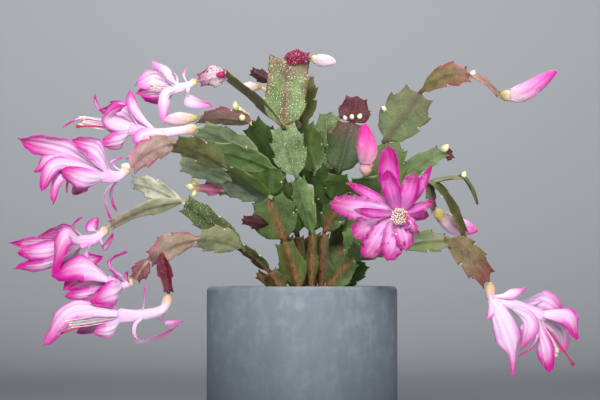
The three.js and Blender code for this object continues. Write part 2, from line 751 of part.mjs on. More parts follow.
function bloom({ on, tube, mouth, lean, tepals, stamens, style }) {
  const curve = seatedCurve(on, tube);
  const throat = curve.getPoint(THROAT);
  const filaments = STAMEN_STEPS.map(([right, up]) => {
    const offset = new THREE.Vector3(right, -right, up);
    const foot = throat.clone().addScaledVector(offset, STAMEN_SPREAD / 2);
    const anther = vector(stamens).addScaledVector(offset, STAMEN_SPREAD);
    return thread(foot, anther, STAMEN_RADIUS, STAMEN_SIDES);
  });
  return fuse([
    spindle(curve, TUBE_PROFILE, mouth, FLOWER_SIDES),
    ...tepals.map((row) => tepal(curve, mouth, lean, row)),
    ...filaments,
    thread(throat, vector(style), STAMEN_RADIUS, STYLE_SIDES),
  ]);
}

function bud({ on, radius, path }) {
  return fuse([spindle(seatedCurve(on, path), BUD_PROFILE, radius, FLOWER_SIDES)]);
}

// The pot's section: straight sides, a small foot bevel, a rounded lip and a flat floor

function potSolid() {
  const inner = POT_RADIUS - POT_WALL;
  const section = [
    [0, 0],
    [POT_RADIUS - POT_FOOT_BEVEL, 0],
    [POT_RADIUS, POT_FOOT_BEVEL],
  ];
  const arcs = [
    [POT_RADIUS - POT_LIP_RADIUS, 0],
    [inner + POT_LIP_RADIUS, Math.PI / 2],
  ];
  arcs.forEach(([centre, from]) => {
    for (let step = 0; step <= LIP_STEPS; step += 1) {
      const angle = from + (step / LIP_STEPS) * Math.PI / 2;
      section.push([
        centre + Math.cos(angle) * POT_LIP_RADIUS,
        POT_HEIGHT - POT_LIP_RADIUS + Math.sin(angle) * POT_LIP_RADIUS,
      ]);
    }
  });
  section.push([inner, POT_FLOOR], [0, POT_FLOOR]);
  return turned(section);
}

// Solid of revolution about Z from a section of radii and heights

function turned(section) {
  const profile = section.map(([radius, height]) => new THREE.Vector2(radius, height));
  return solidOf(new THREE.LatheGeometry(profile, POT_SIDES).rotateX(Math.PI / 2));
}

function soilSolid() {
  const radius = POT_RADIUS - POT_WALL - SEAT_GAP;
  const bottom = POT_FLOOR + SEAT_GAP;
  const filling = turned([[0, bottom], [radius, bottom], [radius, SOIL_HEIGHT], [0, SOIL_HEIGHT]]);
  return Object.values(LEAFY_STEMS).reduce((soil, { root: [x, y] }) => {
    const holeRadius = ROOT_RADIUS + HOLE_CLEARANCE;
    const hole = new THREE.CylinderGeometry(holeRadius, holeRadius, 2 * ROOT_DEPTH, HOLE_SIDES);
    hole.rotateX(Math.PI / 2).translate(x, y, SOIL_HEIGHT);
    return soil.subtract(solidOf(hole));
  }, filling);
}

const plant = new THREE.Group();

function place(name, solid, colour, roughness) {
  const material = new THREE.MeshStandardMaterial({ color: colour, roughness, metalness: 0 });
  const mesh = new THREE.Mesh(geometryOf(solid), material);
  mesh.name = name;
  plant.add(mesh);
}

place('pot', potSolid(), POT_GREY, POT_ROUGHNESS);
place('soil', soilSolid(), SOIL_BROWN, SOIL_ROUGHNESS);
Object.entries(LEAFY_STEMS).forEach(([name, stem]) => {
  place(name, leafyStem(stem), stem.colour, STEM_ROUGHNESS);
});
Object.entries(BLOOMS).forEach(([name, flower]) => {
  place(name, bloom(flower), flower.colour, PETAL_ROUGHNESS);
});
Object.entries(BUDS).forEach(([name, row]) => {
  place(name, bud(row), PINK, PETAL_ROUGHNESS);
});

export default plant;
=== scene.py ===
"""A christmas cactus in flower in a plain cylindrical pot, built as an add-on of separate operators.

Sizes in the tables are millimetres in the object's own frame: +Z up, the front facing -Y, the origin
in the middle of the pot's underside. Meshes are made in metres.
"""

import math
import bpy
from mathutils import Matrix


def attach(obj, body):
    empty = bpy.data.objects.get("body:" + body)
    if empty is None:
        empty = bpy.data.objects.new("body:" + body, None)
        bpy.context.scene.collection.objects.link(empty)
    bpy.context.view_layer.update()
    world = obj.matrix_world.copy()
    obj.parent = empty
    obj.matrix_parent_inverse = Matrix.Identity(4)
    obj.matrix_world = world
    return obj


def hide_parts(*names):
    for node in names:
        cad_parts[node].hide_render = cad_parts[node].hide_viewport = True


bl_info = {
    "name": "Potted christmas cactus",
    "version": (1, 0, 0),
    "blender": (4, 5, 0),
    "location": "View3D > Sidebar > Cactus",
    "description": "Builds a flowering christmas cactus in a plain pot, one operator for each kind of piece",
    "category": "Add Mesh",
}

import bpy
import numpy as np

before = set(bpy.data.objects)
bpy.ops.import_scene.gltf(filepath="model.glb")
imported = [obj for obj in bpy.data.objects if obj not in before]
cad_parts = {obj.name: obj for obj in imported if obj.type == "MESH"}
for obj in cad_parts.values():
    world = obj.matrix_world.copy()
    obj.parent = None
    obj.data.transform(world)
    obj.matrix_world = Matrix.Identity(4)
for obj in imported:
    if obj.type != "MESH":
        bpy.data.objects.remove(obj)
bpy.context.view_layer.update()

MM = 0.001
FRONT = np.array((0.0, -1.0, 0.0))
UP = np.array((0.0, 0.0, 1.0))

# Level of the soil, two heights on its side, the heights between which it turns uneven, the bottom of
# the stems' roots in it, how far its crumbs keep from them, and the height of a spare ring halfway up
# the inside of the pot

SOIL_HEIGHT = 97.0
SOIL_SIDE = (93.0, 95.2)
SOIL_UNEVEN = (94.5, 96.0)
ROOT_BOTTOM = 83.5
ROOT_CLEARANCE = 5.2
INNER_RING = 60.0

# Woody foot of a stem: its radius at three levels, its colour, and its reach into the first segment

FOOT_LEVELS = (ROOT_BOTTOM, SOIL_HEIGHT, SOIL_HEIGHT + 12)
FOOT_RADII = (2.9, 3.3, 2.1)
FOOT_COLOUR = (110, 76, 48)
FOOT_REACH = 4.0

# How deep a segment's neck sinks into the one before it, the bend up to which the row that carries a
# stem on needs no sinking, and the gap between a segment's tip and its bloom

NECK_SINK = 2.5
SHARP_BEND = math.radians(48.0)
BLOOM_GAP = 0.6

# Blade of a segment: half thickness at its margin, what the middle adds, the width of its rib, young
# and woody, and how far forward a tooth points

BLADE_RIM = 0.28
BLADE_BELLY = 0.5
RIB_WIDTH = 1.5
WOODY_RIB_WIDTH = 2.6
TOOTH_POINT = 0.9

# Colour of a segment: the range of its shade, the width of the rib's colour, green and corky, the place,
# width and depth of the painted shade line beside the rib, a darker line along the foot of its ridge, the
# margin share from which the rim's colour is broad, and how much stronger than the table the colours are

SEGMENT_SHADE = (0.73, 0.91)
RIB_LINE = 1.0
CORKY_RIB_LINE = 2.6
RIB_SHADE_PLACE = 1.7
RIB_SHADE_WIDTH = 0.7
RIB_SHADE_DEPTH = 0.32
BROAD_RIM = 0.85
VIVID = 1.1

# Areoles: radius and colours of the wool, number, lengths, thickness and colour of the bristles

WOOL_RADIUS = 0.55
WOOL_COLOURS = ((190, 172, 120), (232, 220, 186))
BRISTLES = 3
BRISTLE_LENGTHS = (1.0, 2.0)
BRISTLE_RADIUS = 0.11
BRISTLE_COLOUR = (214, 198, 160)

# Petals: how far out in the tube they start, the most that they roll, how deep they are cupped, the
# widths from which one is broad and can be blunt, the share of the length over which a broad one comes
# to lean, where a long broad one narrows, and the looks that are blunt or crumpled

PETAL_SEAT = 0.45
PETAL_ROLL = 0.35
PETAL_CUPS = (0.22, 0.42)
BROAD_PETAL = 6.0
BLUNT_PETAL = 9.0
LEAN_LENGTH = 0.5
NARROWING = (0.5, 0.72)
BLUNT_LOOKS = ("magenta", "faded")
CRUMPLES = {"faded": 2.6}

# Stamens and style: where they start in the tube, how far short of or past their bundle's middle the
# stamens end and how far they bow, the radii of the threads and of their knobs, and the colours of both

THROAT = 0.88
STAMEN_ENDS = (-3.0, 1.0)
STAMEN_BOW = 0.05
STAMEN_RADII = (0.22, 0.68)
STAMEN_COLOURS = ((254, 242, 246), (252, 242, 214))
STYLE_RADII = (0.55, 1.1)
STYLE_COLOURS = ((206, 2, 100), (186, 0, 84))

# Turn from one petal of a bud, or stamen of a bloom, to the next, and the fineness of the surfaces

SPIRAL_TURN = 2.4
PETAL_STATIONS = 34
TUBE_SIDES = 26
BUD_STATIONS = 40
BUD_SIDES = 28
BUD_LAYERS = 7

# Leafy stems: where the first segment starts over the root, and a row for each segment with its name, the
# joint or place it grows from, its tip, its width, its turn about its own length, how far its middle
# arches up, its form and its finish

STEMS = {
    "stem_left_front": ((-1, -18, 107), (
        ("foot", "root", (-11, -24, 138), 22, 30, 1, "old", "bark_green"),
        ("fork", "foot", (-21, -30, 165), 30, 10, 0, "leaf", "ribbed"),
        ("upright", "fork", (-19, -27, 183), 22, 30, 0, "leaf", "deep"),
        ("bright", "upright", (-57, -38, 194), 22, 48, 2, "leaf", "fresh"),
        ("bright_bud", "bright", (-66, -41, 197), 6, 0, 0, "young", "cream"),
        ("red_shoot", (-24, -27, 149), (-37, -33, 151), 9, 0, 0, "young", "dark_maroon"),
        ("long", "fork", (-45, -42, 182), 20, 62, 1, "slim", "leafy"),
        ("olive", "long", (-78, -54, 196), 21, 45, 3, "leaf", "olive"),
        ("tip_red", "olive", (-104, -58, 182), 21, 45, 4, "leaf", "blushed"),
        ("low", "fork", (-49, -10, 170), 20, 56, 2, "leaf", "mist"),
        ("low_bud", "low", (-68, -2, 172), 9, 30, 0, "young", "rose"),
        ("grey_neck", "fork", (-44, -26, 176), 14, 66, 1, "slim", "leafy"),
        ("grey", "grey_neck", (-76, -22, 187), 21, 42, 1, "leaf", "mist"),
    )),
    "stem_left_back": ((1, 6, 107), (
        ("foot", "root", (-3, 4, 142), 17, 40, 0, "old", "bark"),
        ("middle", "foot", (-11, 2, 176), 26, 22, 0, "leaf", "deep"),
        ("dark", "middle", (-33, 6, 214), 25, 40, 1, "leaf", "deep"),
        ("ribbed", "dark", (-64, -18, 215), 18, 54, 2, "leaf", "maroon_green"),
        ("dark_bud", "dark", (-39, 5, 223), 5, 0, 0, "young", "cream"),
        ("fork", "middle", (-26, -2, 190), 16, 50, 0, "slim", "deep"),
        ("pale", "fork", (-64, -27, 208), 23, 50, 2, "leaf", "mist"),
    )),
    "stem_centre_front": ((6, -6, 107), (
        ("foot", "root", (7, -8, 143), 12, 40, 0, "old", "bark_orange"),
        ("light", "foot", (-3, -10, 178), 18, 42, 0, "leaf", "fresh"),
        ("broad", "light", (-12, -14, 211), 23, 14, 0, "leaf", "frosted"),
        ("crown", "broad", (-8, -18, 252), 29, 0, 0, "crown", "crown"),
        ("crown_cap", "crown", (5, -24, 251.5), 10, 10, 1, "dome", "crimson_dotted"),
        ("edge", "broad", (-49, -4, 244), 21, 72, 2, "slim", "edge"),
        ("spotted", "edge", (-66, -2, 240), 16, 35, 0, "young", "dotted_pink"),
        ("hidden", "broad", (-22, 12, 242), 14, 72, 0, "slim", "deep"),
        ("dark_red", "hidden", (-33, 14, 248), 9, 20, 0, "young", "maroon"),
        ("bud_foot", (-21, 12, 235), (-26, 12, 237), 4, 0, 0, "young", "cream"),
    )),
    "stem_centre_back": ((12, 8, 107), (
        ("foot", "root", (14, 7, 144), 13, 25, 0, "old", "bark"),
        ("ribbed", "foot", (23, 2, 163), 18, 25, 0, "leaf", "ribbed"),
        ("neck", "ribbed", (23, -4, 181), 18, 20, 0, "leaf", "deep"),
        ("dark", "neck", (32, 0, 214), 27, 8, 0, "leaf", "dusky"),
        ("cap", "dark", (35, -2, 230), 21, 0, 0, "dome", "maroon"),
        ("inner", "ribbed", (9, 18, 184), 22, 22, 0, "leaf", "deep"),
        ("mottled", "inner", (19, 22, 222), 23, 32, 0, "leaf", "frosted"),
        ("behind", "inner", (1, 24, 214), 22, 25, 0, "leaf", "leafy"),
        ("behind_top", "behind", (1, 27, 245), 21, 30, 0, "leaf", "olive_deep"),
    )),
    "stem_right_low": ((15, -16, 107), (
        ("foot", "root", (32, -22, 127), 20, 25, 1, "old", "ribbed"),
        ("middle", "foot", (60, -30, 134), 20, 50, 2, "leaf", "leafy"),
        ("horned", "middle", (91, -26, 138), 20, 45, 1, "leaf", "green_brown"),
        ("hanging", "horned", (116, -22, 113), 21, 28, 3, "leaf", "bronze"),
        ("curl_up", "foot", (29, -12, 146), 13, 40, 0, "leaf", "fresh"),
        ("curl_low", "foot", (35, -35, 136), 11, 30, 0, "leaf", "fresh"),
        ("forward", "middle", (58, -42, 152), 15, 10, 0, "leaf", "leafy"),
    )),
    "stem_right_high": ((24, 14, 107), (
        ("foot", "root", (32, 16, 133), 18, 20, 0, "old", "ribbed"),
        ("middle", "foot", (42, 10, 160), 24, 15, 0, "leaf", "leafy"),
        ("fork", "middle", (56, 14, 174), 18, 20, 0, "leaf", "leafy"),
        ("grey", "fork", (53, 16, 202), 28, 10, 0, "leaf", "leafy"),
        ("top", "grey", (76, 14, 234), 30, 0, 0, "leaf", "top_green"),
        ("arched", "top", (107, 6, 244), 20, 36, 5, "leaf", "olive_red"),
        ("thin", "arched", (125, 0, 230), 12, 58, 3, "slim", "pink_brown"),
        ("side_high", "fork", (92, 22, 197), 19, 44, 1, "leaf", "leafy"),
        ("side_red", "side_high", (96, 20, 191), 8, 20, 0, "young", "maroon"),
        ("bow", "fork", (81, 26, 176), 15, 74, 1, "slim", "leafy"),
        ("bow_out", "bow", (104, 30, 180), 15, 76, 1, "slim", "olive"),
        ("bow_down", "bow_out", (114, 32, 163), 15, 76, 3, "slim", "green_brown"),
        ("drooping", "bow", (105, 20, 141), 18, 66, 9, "leaf", "olive_deep"),
        ("purple", "bow", (86, 36, 159), 12, 50, 0, "leaf", "mauve_grey"),
        ("broad", "middle", (39, -26, 178), 24, 10, 1, "leaf", "fresh"),
        ("side", "root", (40, 8, 125), 14, 25, 1, "leaf", "deep"),
    )),
    "stem_left_low": ((-11, -30, 107), (
        ("foot", "root", (-20, -34, 119), 16, 25, 0, "old", "bark"),
        ("narrow", "foot", (-37, -42, 134), 15, 60, 1, "leaf", "ribbed"),
        ("smooth", "narrow", (-63, -56, 139), 21, 36, 2, "leaf", "soft_olive"),
        ("jagged", "smooth", (-92, -64, 126), 20, 42, 3, "leaf", "jagged"),
        ("reddish", "jagged", (-100, -66, 114), 13, 40, 1, "leaf", "reddish"),
        ("spotted", "narrow", (-72, -46, 161), 20, 40, 1, "leaf", "spotted"),
        ("pale", "spotted", (-104, -40, 174), 18, 48, 2, "leaf", "glaucous"),
        ("slender", "spotted", (-117, -54, 146), 17, 58, 4, "slim", "slender"),
        ("knot", "root", (-28, -22, 118), 9, 10, 0, "old", "bark"),
        ("crimson", (-84, -61, 128), (-79, -72, 105.6), 10, 30, 0, "young", "crimson"),
    )),
    "stem_back_left": ((-5, 27, 107), (
        ("foot", "root", (-10, 44, 142), 17, 30, 0, "old", "bark"),
        ("middle", "foot", (-20, 64, 170), 24, 25, 2, "leaf", "ribbed"),
        ("high", "middle", (-27, 76, 206), 24, 20, 2, "leaf", "leafy"),
        ("out", "middle", (-44, 88, 186), 22, 40, 3, "leaf", "fresh"),
        ("out_tip", "out", (-56, 104, 172), 20, 35, 2, "leaf", "olive"),
    )),
    "stem_back_centre": ((7, 34, 107), (
        ("foot", "root", (6, 55, 144), 24, 20, 0, "old", "bark"),
        ("middle", "foot", (12, 66, 176), 24, 15, 2, "leaf", "leafy"),
        ("left", "middle", (-1, 82, 208), 24, 20, 2, "leaf", "leafy"),
        ("left_top", "left", (-7, 88, 243), 22, 20, 1, "leaf", "top_green"),
        ("right", "middle", (31, 84, 203), 22, 40, 2, "leaf", "olive"),
    )),
    "stem_back_right": ((25, 26, 107), (
        ("foot", "root", (28, 38, 150), 25, 10, 0, "leaf", "bark_green"),
        ("middle", "foot", (48, 66, 158), 22, 25, 2, "leaf", "leafy"),
        ("out", "middle", (60, 84, 160), 22, 30, 4, "leaf", "olive"),
    )),
}

# What most blooms share: how far the broad petals lean, the radius of the bundle of stamens, and how far
# the style arches up as a share of the stamens' length

PLAIN_BLOOM = dict(lean=0.55, tuft=3.0, arch=0.03)

# Blooms: the segment that carries each, the radius of its mouth, its look and what it has of its own, the
# tube's points, the middle of the stamens' ends, the end of the style, and a row for each petal with
# the place where it leaves the tube, its width, its points, and its look where that is another

BLOOMS = {
    "bloom_crown_left": dict(
        on="stem_centre_front.spotted", mouth=3.6, look="white",
        tube=((-73, -4, 236), (-82, -6, 234)), stamens=(-96, -8, 236), style=(-102, -8, 236),
        petals=(
            (0.8, 7, ((-84, -10, 244), (-95, -14, 251))),
            (0.9, 13, ((-92, -8, 241), (-105, -12, 236))),
            (0.9, 8, ((-96, -2, 233), (-105, -6, 231)), "rose"),
            (0.4, 4, ((-75, 2, 243), (-74, 4, 249))),
            (0.8, 7, ((-85, -12, 230), (-86, -16, 210))),
            (0.4, 7, ((-71, -13, 227), (-55, -16, 222))),
            (0.9, 11, ((-87, 10, 239), (-99, 20, 244))),
            (0.9, 10, ((-89, 12, 232), (-103, 18, 231)), "rose"),
            (0.8, 5, ((-80, 8, 243), (-87, 14, 248))),
        ),
    ),
    "bloom_upper_left": dict(
        on="stem_left_back.pale", mouth=4.4, look="pink",
        tube=((-75, -29, 206), (-94, -30, 204), (-109, -32, 208)),
        stamens=(-137, -33, 212), style=(-139, -36, 208),
        petals=(
            (0.8, 12, ((-111, -32, 219), (-125, -36, 218))),
            (0.9, 12, ((-112, -35, 199), (-124, -38, 196))),
            (0.6, 7, ((-103, -36, 220), (-106, -36, 231))),
            (0.8, 10, ((-118, -40, 213), (-107, -46, 221))),
            (0.5, 9, ((-98, -39, 201), (-97, -42, 191))),
            (0.9, 4, ((-125, -32, 220), (-128, -32, 229))),
            (0.9, 4, ((-135, -34, 213), (-147, -36, 208))),
            (0.9, 11, ((-114, -16, 210), (-126, -6, 214))),
            (0.7, 10, ((-110, -16, 219), (-121, -6, 226))),
        ),
    ),
    "bloom_far_left": dict(
        on="stem_left_front.tip_red", mouth=4.6, look="pink",
        tube=((-111, -60, 176), (-121, -63, 177)), stamens=(-151, -66, 178), style=(-154, -66, 175),
        petals=(
            (0.9, 16, ((-141, -68, 191), (-169, -74, 198))),
            (0.7, 13, ((-124, -60, 194), (-138, -62, 198))),
            (0.3, 3, ((-114, -66, 184), (-107, -68, 187))),
            (0.8, 11, ((-129, -74, 174), (-143, -78, 179))),
            (0.9, 10, ((-149, -72, 186), (-159, -74, 178))),
            (0.9, 8, ((-146, -77, 182), (-154, -80, 166))),
            (0.9, 7, ((-143, -71, 175), (-148, -73, 159))),
            (0.9, 5, ((-139, -64, 175), (-141, -64, 166))),
            (0.6, 4, ((-118, -62, 164), (-114, -64, 149))),
            (0.5, 4, ((-115, -55, 166), (-112, -54, 155))),
            (0.9, 13, ((-135, -50, 184), (-156, -38, 189))),
            (0.8, 11, ((-131, -50, 174), (-140, -42, 166))),
        ),
    ),
    "bloom_middle_left": dict(
        on="stem_left_low.slender", mouth=4.4, look="rose",
        tube=((-124, -56, 139), (-135, -58, 136)), stamens=(-160, -60, 129), style=(-167, -60, 132),
        petals=(
            (0.9, 7, ((-156, -60, 137), (-175, -66, 136))),
            (0.9, 10, ((-155, -66, 131), (-169, -74, 130))),
            (0.9, 8, ((-153, -62, 123), (-172, -68, 121))),
            (0.9, 10, ((-140, -70, 141), (-148, -76, 116))),
            (0.3, 7, ((-127, -52, 145), (-123, -52, 152))),
            (0.4, 5, ((-119, -60, 134), (-113, -62, 142))),
            (0.7, 7, ((-128, -62, 127), (-119, -64, 128))),
            (0.8, 5, ((-138, -54, 146), (-133, -54, 152))),
            (0.9, 11, ((-142, -58, 144), (-158, -62, 140))),
            (0.9, 11, ((-148, -44, 135), (-170, -32, 130))),
            (0.9, 10, ((-140, -46, 128), (-153, -36, 122))),
        ),
    ),
    "bloom_lower_left": dict(
        on="stem_left_low.reddish", mouth=4.4, look="rose",
        tube=((-107, -68, 111), (-117, -70, 113)), stamens=(-134, -64, 114), style=(-141, -62, 114),
        petals=(
            (0.9, 16, ((-129, -74, 122), (-147, -80, 116))),
            (0.9, 12, ((-129, -68, 115), (-142, -71, 108))),
            (0.4, 4, ((-108, -74, 117), (-114, -76, 120))),
            (0.2, 4, ((-104, -73, 115), (-103, -76, 119))),
            (0.6, 5, ((-114, -68, 125), (-104, -68, 131))),
            (0.5, 13, ((-111, -81, 106), (-125, -83, 101))),
            (0.8, 7, ((-128, -76, 105), (-140, -78, 104))),
            (0.9, 7, ((-126, -58, 121), (-136, -54, 125))),
            (0.8, 11, ((-127, -52, 111), (-142, -44, 105))),
        ),
    ),
    "bloom_hanging_left": dict(
        on="stem_left_low.crimson", mouth=4.4, look="pale",
        tube=((-82, -77, 97), (-97, -76, 93), (-110, -77, 93)),
        stamens=(-139, -81, 88), style=(-148, -83, 80),
        petals=(
            (0.9, 12, ((-135, -81, 97), (-152, -86, 75))),
            (0.9, 10, ((-113, -80, 84), (-123, -80, 83))),
            (0.6, 5, ((-98, -80, 87), (-97, -80, 79), (-85, -76, 81), (-73, -73, 87))),
            (0.3, 5, ((-83, -69, 90), (-71, -67, 89))),
            (0.6, 5, ((-93, -79, 102), (-92, -80, 111))),
            (0.9, 9, ((-120, -73, 101), (-132, -75, 99))),
            (0.9, 10, ((-121, -62, 89), (-136, -54, 82))),
            (0.9, 10, ((-122, -64, 97), (-136, -54, 97))),
        ),
    ),
    "bloom_front": dict(
        on="stem_right_low.forward", mouth=5.0, lean=0, look="magenta", tuft=5.0, arch=0.25,
        tube=((58, -57, 154), (57, -68, 154)), stamens=(57, -86, 151), style=(62, -93, 146),
        petals=(
            (0.9, 11, ((52, -73, 173), (51, -73, 194))),
            (0.9, 9, ((53, -80, 166), (50, -83, 179))),
            (0.9, 6, ((41, -72, 164), (26, -70, 172))),
            (0.9, 13, ((35, -74, 156), (16, -75, 159)), "faded"),
            (0.9, 5, ((42, -85, 153), (30, -92, 155))),
            (0.9, 12, ((41, -75, 147), (30, -76, 139)), "faded"),
            (0.9, 12, ((46, -79, 140), (36, -78, 127)), "faded"),
            (0.9, 12, ((54, -81, 138), (50, -81, 125)), "faded"),
            (0.9, 10, ((60, -81, 142), (61, -85, 131)), "faded"),
            (0.9, 7, ((63, -82, 148), (68, -88, 141)), "faded"),
            (0.9, 10, ((63, -77, 165), (67, -76, 177))),
            (0.9, 6, ((68, -70, 166), (78, -66, 183))),
            (0.9, 5, ((69, -73, 157), (79, -74, 161))),
        ),
    ),
    "bloom_right": dict(
        on="stem_right_low.hanging", mouth=4.6, look="pale",
        tube=((118, -22, 102), (132, -21, 98), (151, -20, 90)), stamens=(157, -22, 67), style=(168, -24, 61),
        petals=(
            (0.3, 7, ((130, -23, 106), (139, -23, 109))),
            (0.2, 4, ((117, -26, 95), (113, -28, 89))),
            (0.3, 14, ((124, -30, 86), (129, -28, 70), (130, -28, 53))),
            (0.6, 11, ((139, -27, 87), (135, -25, 71))),
            (0.7, 13, ((150, -14, 101), (163, -12, 91))),
            (0.9, 12, ((165, -23, 91), (170, -24, 77)), "rose"),
            (0.9, 4, ((144, -28, 76), (133, -32, 67)), "rose"),
            (0.9, 10, ((149, -27, 73), (152, -30, 57)), "rose"),
            (0.9, 10, ((162, -8, 82), (164, 0, 68))),
            (0.8, 10, ((152, -8, 97), (167, -2, 90))),
        ),
    ),
    "bloom_back": dict(
        on="stem_back_right.out", mouth=4.6, lean=0, look="magenta",
        tube=((62, 94, 160), (62, 102, 161)), stamens=(60, 120, 156), style=(61, 126, 153),
        petals=(
            (0.9, 10, ((60, 110, 174), (55, 116, 186))),
            (0.9, 10, ((72, 110, 170), (82, 112, 180))),
            (0.9, 10, ((76, 110, 160), (88, 113, 158))),
            (0.9, 10, ((70, 110, 149), (80, 112, 140))),
            (0.9, 10, ((60, 111, 146), (58, 115, 134))),
            (0.9, 10, ((50, 110, 152), (38, 112, 146))),
            (0.9, 10, ((48, 110, 166), (36, 113, 170))),
            (0.5, 7, ((66, 100, 172), (72, 93, 177))),
            (0.5, 7, ((54, 99, 151), (46, 93, 145))),
        ),
    ),
}

# Closed buds: the segment that carries each, its largest radius, its path and its look

BUDS = {
    "bud_left": ("stem_left_back.ribbed", 3.8, ((-76, -21, 214), (-86, -22, 213)), "cream"),
    "bud_far_right": ("stem_right_high.thin", 5.4, ((139, -3, 232), (161, -2, 246)), "warm"),
    "bud_front": ("stem_right_high.broad", 6, ((40, -32, 194), (38, -33, 210)), "hot"),
    "bud_top": ("stem_centre_front.crown_cap", 3.6, ((12, -26, 250), (21, -27, 249)), "white"),
    "bud_right": ("stem_right_high.purple", 5.8, ((99, 42, 150), (115, 44, 146)), "pale"),
    "bud_crown": ("stem_centre_front.bud_foot", 3.2, ((-33, 12, 237), (-41, 11, 236)), "white"),
    "bud_back": ("stem_back_centre.right", 4.6, ((39, 93, 207), (49, 101, 214)), "pale"),
}

# Outline of each kind of segment from its neck to its horned tip: a place along the length, the half
# widths left and right as shares of the full half width, and how far the left and right margins lead
# the middle there

TOOTHED_OUTLINE = (
    (0.06, 0.16, 0.16, 0, 0),
    (0.2, 0.7, 0.64, 0, 0.02),
    (0.42, 1, 0.92, 0.02, 0.05),
    (0.48, 0.85, 0.79, -0.01, 0.03),
    (0.68, 1, 1, 0.03, 0.06),
    (0.74, 0.8, 0.8, -0.01, 0.03),
    (0.9, 0.7, 0.64, 0.06, 0.09),
)
CROWN_OUTLINE = (
    (0.04, 0.42, 0.4, 0, 0),
    (0.14, 0.78, 0.74, 0, 0.01),
    (0.32, 0.9, 0.9, 0, 0.02),
    (0.38, 0.86, 0.82, -0.01, 0),
    (0.7, 0.88, 1, 0.02, 0.05),
    (0.77, 0.84, 0.84, 0, 0),
    (0.95, 0.84, 0.86, 0.08, 0.04),
)
DOME_OUTLINE = (
    (0.02, 0.72, 0.72, 0, 0),
    (0.38, 1, 1, 0.02, 0),
    (0.46, 0.92, 0.93, 0, 0),
    (0.88, 0.66, 0.6, 0.04, 0.03),
)
SLIM_OUTLINE = (
    (0.06, 0.18, 0.18, 0, 0),
    (0.44, 1, 0.9, 0.02, 0.06),
    (0.53, 0.84, 0.78, 0, 0.04),
    (0.9, 0.6, 0.54, 0.05, 0.08),
)
YOUNG_OUTLINE = (
    (0.08, 0.4, 0.4, 0, 0),
    (0.5, 1, 1, 0.02, 0.03),
    (0.9, 0.56, 0.5, 0.04, 0.04),
)

# Thickness of the ribbed middle of a segment and its outline, by the kind of segment

FORMS = {
    "old": (5.5, SLIM_OUTLINE),
    "leaf": (3, TOOTHED_OUTLINE),
    "slim": (2.6, SLIM_OUTLINE),
    "young": (3.4, YOUNG_OUTLINE),
    "crown": (3, CROWN_OUTLINE),
    "dome": (3.4, DOME_OUTLINE),
}

# Finish of a segment: the blade's colour, a colour and its share for the rib, the margin and the tip,
# how many pale specks it has, or crimson dots where that is below zero, and how corky its rib is

